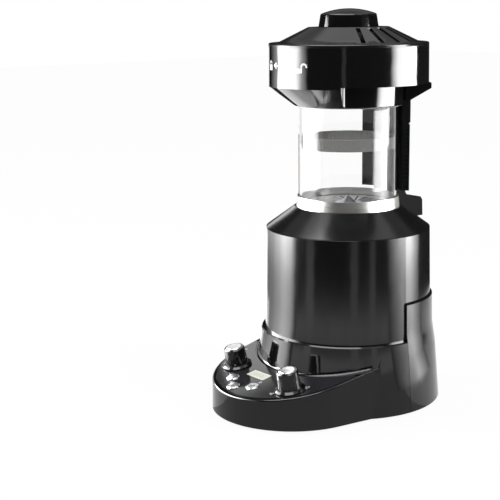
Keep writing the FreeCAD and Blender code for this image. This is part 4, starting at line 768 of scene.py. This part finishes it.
digits = bmesh.new()
for k in range(4):
    left = FIRST_DIGIT + DIGIT_STEP * k + (COLON_GAP if k > 1 else 0.0)
    for level in (-HALF_DIGIT, 0.0, HALF_DIGIT):
        bar(digits, (left + 0.5, left + DIGIT_WIDTH - 0.5), (level - SEGMENT, level + SEGMENT))
    for side in (left, left + DIGIT_WIDTH):
        for low in (-HALF_DIGIT, 0.0):
            bar(digits, (side - SEGMENT, side + SEGMENT),
                (low + SEGMENT, low + HALF_DIGIT - SEGMENT))
for level in (-COLON_RISE, COLON_RISE):
    bar(digits, (-0.5, 0.2), (level - 0.35, level + 0.35))
lay_ink("display_digits", digits, "display_window", over("display_window"), "unlit_segments")

# %% [markdown]
# ## The lamps
#
# Two large soft lamps light the colours: a key from the front left and a fill from the back
# right. They add no highlights of their own, because on polished black those would be small
# hard squares. The highlights come from the reflection cards further down.

# %% Lamps
TOWER_MIDDLE = Vector((0, AXIS_Y, 180 * MM))


def soft_lamp(name, place, size, watts):
    """A square area light that looks at the middle of the tower."""
    data = bpy.data.lights.new(name, "AREA")
    data.shape = "RECTANGLE"
    data.size = data.size_y = size
    data.energy = watts
    data.specular_factor = 0.0
    lamp = bpy.data.objects.new(name, data)
    bpy.context.scene.collection.objects.link(lamp)
    lamp.location = place
    lamp.rotation_euler = (TOWER_MIDDLE - Vector(place)).to_track_quat("-Z", "Y").to_euler()
    print("lamp", name, watts, "W")


soft_lamp("key", (-0.9, -0.9, 1.1), size=0.8, watts=9)
soft_lamp("fill", (1.1, 0.5, 0.9), size=0.9, watts=7)

# %% [markdown]
# ## A white world and a white floor
#
# The backdrop should be pure white, but light of that strength would wash the object out. A
# Light Path node tells the two apart. A ray that comes from the camera, from a mirror or
# through glass sees a strength of 1, which is white, and a ray that only gathers light finds
# a little less. The floor does the same, and keeps a share of real paper, so that the roaster
# still throws a soft shadow.

# %% World and floor
WHITE, DAYLIGHT = 1.0, 0.75
GLOWING_SHARE = 0.93
PAPER = (0.96, 0.96, 0.96)
FLOOR_REACH = 6.0


def seen_as_white(graph):
    """1 for a ray from the camera, a mirror or through glass, and 0 for light that falls."""
    camera_ray, glossy_ray, clear_ray = (
        graph.node("ShaderNodeLightPath", {}, {}, f"Is {kind} Ray")
        for kind in ("Camera", "Glossy", "Transmission"))
    return (camera_ray + glossy_ray).math("ADD", clear_ray, clamp=True)


def white_world():
    """A world that is seen as white and lights a little less."""
    world = bpy.data.worlds.new("studio")
    bpy.context.scene.world = world
    world.use_nodes = True
    sky = Graph(world.node_tree)
    background = sky.tree.nodes["Background"]
    sky.fill(background.inputs["Color"], (1, 1, 1))
    sky.fill(background.inputs["Strength"], seen_as_white(sky) * (WHITE - DAYLIGHT) + DAYLIGHT)
    print("world nodes", len(sky.tree.nodes))


def floor_material():
    """White where the light falls freely; the object's shadow stays, but softly."""
    material = bpy.data.materials.new("floor_white")
    material.use_nodes = True
    graph = Graph(material.node_tree)
    paper = graph.node("ShaderNodeBsdfDiffuse", {}, {"Color": PAPER})
    glow = graph.node("ShaderNodeEmission", {}, {"Strength": WHITE})
    share = seen_as_white(graph) * GLOWING_SHARE
    blend = graph.node("ShaderNodeMixShader", {}, {0: share, 1: paper, 2: glow})
    graph.fill(graph.tree.nodes["Material Output"].inputs["Surface"], blend)
    return material


white_world()
ground = bmesh.new()
bmesh.ops.create_grid(ground, x_segments=1, y_segments=1, size=FLOOR_REACH)
plain_object("floor", ground, floor_material())

# %% [markdown]
# ## Curved cards that only reflections see
#
# Polished black shows what stands around it, so the look is made by what it reflects. A
# studio surrounds such an object with soft lights and with white and black cards. Area lamps
# could draw the streaks, but with hard edges, and each would also light the colours. So every
# light and screen here is a card swept about the tower's axis, and only glossy rays see it. A
# softbox is brightest in its middle, so a card's glow fades over its width and from its foot
# to its top. The fading is worked out from the angle round the axis and from the height. A
# flat card has no height and takes its reach from the axis instead.

# %% A card's fading glow
TOWARDS_EYE = BEARING - pi / 2
EVEN = ((0.0, 1.0), (1.0, 1.0))
GLOW_ONLY = {"Base Color": (0, 0, 0), "Specular IOR Level": 0.0}


def fading_glow(name, foot, top, angles, level, across, along):
    """Light that fades over a card's width and from its foot to its top."""
    finish = Finish(f"{name}_glow", {**GLOW_ONLY, "Roughness": 1.0, "Emission Strength": level})
    halfway = TOWARDS_EYE + radians(sum(angles) / 2)
    home = Matrix.Rotation(-halfway, 3, "Z") @ Vector((0, -AXIS_Y, 0))
    turned = finish.node("ShaderNodeMapping", {}, {
        0: finish.coordinates, "Location": home, "Rotation": (0, 0, -halfway)})
    x, y, z = (finish.node("ShaderNodeSeparateXYZ", {}, {0: turned}, k) for k in range(3))
    sideways = y.math("ARCTAN2", x) / radians(angles[1] - angles[0]) + 0.5
    if top[1] > foot[1]:
        rising = (z - foot[1]) / (top[1] - foot[1])
    else:
        rising = ((x * x + y * y).math("SQRT") - foot[0]) / (top[0] - foot[0])
    finish.feed("Emission Color", finish.ramp(sideways, *across) * finish.ramp(rising, *along))
    return finish.material


def show_in_gloss_only(card):
    """Hide a card from every kind of ray but the glossy one."""
    for kind in ("camera", "diffuse", "transmission", "shadow", "volume_scatter"):
        setattr(card, f"visible_{kind}", False)


print("the camera's side lies at", round(TOWARDS_EYE, 3), "radians round the axis")

# %% One curved card
def curved_card(name, foot, top, angles, level, across=EVEN, along=EVEN):
    """A card swept about the tower's axis from a foot and a top, each as (reach, height).

    Its angles are degrees from the camera's side, and its ramps run over width and height.
    """
    start, end = (TOWARDS_EYE + radians(angle) for angle in angles)
    shape = bmesh.new()
    low, high = (shape.verts.new((reach * cos(start), AXIS_Y + reach * sin(start), height))
                 for reach, height in (foot, top))
    edge = shape.edges.new((low, high))
    bmesh.ops.spin(shape, geom=[low, high, edge], cent=(0, AXIS_Y, 0), axis=(0, 0, 1),
                   angle=end - start, steps=24)
    glow = fading_glow(name, foot, top, angles, level, across, along)
    show_in_gloss_only(plain_object(name, shape, glow))
    print("card", name, "from", angles[0], "to", angles[1], "degrees, level", level)


# %% [markdown]
# ## Bright cards on both sides
#
# From a camera that looks slightly down, the tower reflects what stands low round it, the
# glass what stands at half height, and the collector's band and knob what stands higher. So
# each height has its own pair of cards, left and right, and each can be made as wide and as
# soft as the streak it has to draw. The tower's pair goes on along the floor.

# %% Streaks on the tower, the glass, the band and the knob
CARD_REACH = 0.42
LOW, MIDDLE, HIGH, TOP = ((CARD_REACH, height) for height in (0.0, 0.19, 0.325, 0.43))
GLASS_LOW, GLASS_HIGH = (0.41, 0.138), (0.41, 0.235)
FLOOR_IN, FLOOR_OUT = (0.19, 0.001), (CARD_REACH, 0.001)

SOFT_LEFT = ((0.0, 0.03), (0.33, 0.18), (0.54, 0.5), (0.71, 1.0), (0.87, 0.85), (0.97, 0.05),
             (1.0, 0.0))
SOFT_RIGHT = ((0.0, 0.03), (0.2, 0.24), (0.4, 0.5), (0.6, 1.0), (0.8, 0.4), (1.0, 0.03))
DIMMER_LOW = ((0.0, 0.35), (0.25, 0.4), (0.55, 1.0))
BAND_LEFT = ((0.05, 0.0), (0.17, 0.025), (0.33, 0.12), (0.37, 1.0), (0.8, 1.0), (0.9, 0.3),
             (1.0, 0.02))
BAND_RIGHT = ((0.0, 0.05), (0.12, 0.6), (0.24, 1.0), (1.0, 1.0))
GLASS_LEFT = ((0.0, 1.0), (0.78, 1.0), (0.9, 0.3), (1.0, 0.02))
GLASS_RIGHT = ((0.0, 0.05), (0.1, 0.5), (0.2, 1.0), (1.0, 1.0))

curved_card("left_tower", LOW, MIDDLE, (-144, -68), 16, SOFT_LEFT, DIMMER_LOW)
curved_card("left_floor", FLOOR_IN, FLOOR_OUT, (-144, -68), 6, SOFT_LEFT)
curved_card("left_band", MIDDLE, HIGH, (-141, -55), 20, BAND_LEFT)
curved_card("right_tower", LOW, MIDDLE, (53, 108), 20, SOFT_RIGHT, DIMMER_LOW)
curved_card("right_floor", FLOOR_IN, FLOOR_OUT, (53, 108), 6, SOFT_RIGHT)
curved_card("right_band", MIDDLE, HIGH, (57, 104), 20, BAND_RIGHT)
curved_card("left_glass", GLASS_LOW, GLASS_HIGH, (-121, -62), 46, GLASS_LEFT)
curved_card("right_glass", GLASS_LOW, GLASS_HIGH, (55, 97), 46, GLASS_RIGHT)
curved_card("knob_left", HIGH, TOP, (-103, -85), 11)
curved_card("knob_right", HIGH, TOP, (52, 85), 11)

# %% [markdown]
# ## Faint cards
#
# A few weak cards do small jobs. One behind the tower is what the sloping control panel
# reflects, and it lifts that plate to a dark grey. Light on the floor behind, on the left,
# shows in the collector's skirt, which leans down. Narrow strips in front draw the thin pale
# lines down the tower and the band, stronger at their feet.

# %% Control panel, skirt and thin lines
FAINTER_UP = ((0.0, 1.0), (1.0, 0.35))
BEHIND_LEFT = (-178, -132)

curved_card("panel_window", (CARD_REACH, 0.2), (CARD_REACH, 0.31), (197, 211), 1.6)
curved_card("skirt_floor", (0.16, 0.001), (0.46, 0.001), BEHIND_LEFT, 2.4)
curved_card("skirt_card", (0.45, 0.0), (0.45, 0.08), BEHIND_LEFT, 2.2)
curved_card("faint_left", LOW, MIDDLE, (-53, -43), 1.1, along=FAINTER_UP)
curved_card("faint_middle", LOW, MIDDLE, (4, 13), 0.8, along=FAINTER_UP)
curved_card("faint_right", LOW, MIDDLE, (28, 35), 0.9, along=FAINTER_UP)
curved_card("faint_band", MIDDLE, HIGH, (-8, -3), 0.45)

# %% [markdown]
# ## Dark screens and the light overhead
#
# Black screens close the ring behind the bright cards, so that the plastic between the
# streaks stays black. The one in front is a little lighter at its foot, where a real studio
# floor would throw light back, and the floor in front is dimmed in the same way. Overhead
# hangs a large even card that greys the cones, and under it a brighter strip that draws the
# thin lines along rounded edges.

# %% Screens and ceiling
SCREEN_REACH = 0.47
PALE_FOOT = ((0.0, 1.0), (0.03, 0.85), (0.055, 0.12), (0.1, 0.03))
IN_FRONT, BEHIND = (-62, 65), (65, 298)
STRIP_HEIGHT, CEILING_HEIGHT, CEILING_REACH = 0.79, 0.8, 0.62

curved_card("front_screen", (SCREEN_REACH, 0), (SCREEN_REACH, 0.6), IN_FRONT, 0.45,
             along=PALE_FOOT)
curved_card("dim_floor", (0.02, 0.0005), (0.33, 0.0005), (-66, 60), 0.5)
curved_card("back_screen", (SCREEN_REACH, 0), (SCREEN_REACH, 0.5), BEHIND, 0.02)
curved_card("high_back", (SCREEN_REACH, 0.5), (SCREEN_REACH, 0.8), BEHIND, 0.22)
curved_card("front_strip", (0.15, STRIP_HEIGHT), (CEILING_REACH, STRIP_HEIGHT), (-110, 30), 6)

overhead = bmesh.new()
bmesh.ops.create_circle(overhead, cap_ends=True, radius=CEILING_REACH, segments=48)
bmesh.ops.translate(overhead, vec=(0, AXIS_Y, CEILING_HEIGHT), verts=overhead.verts)
ceiling_glow = Finish("ceiling_glow", {**GLOW_ONLY, "Emission Color": (1, 1, 1),
                                       "Emission Strength": 0.9})
show_in_gloss_only(plain_object("ceiling_card", overhead, ceiling_glow.material))

# %% [markdown]
# ## Sizes
#
# Dressing must not change the size of the roaster.
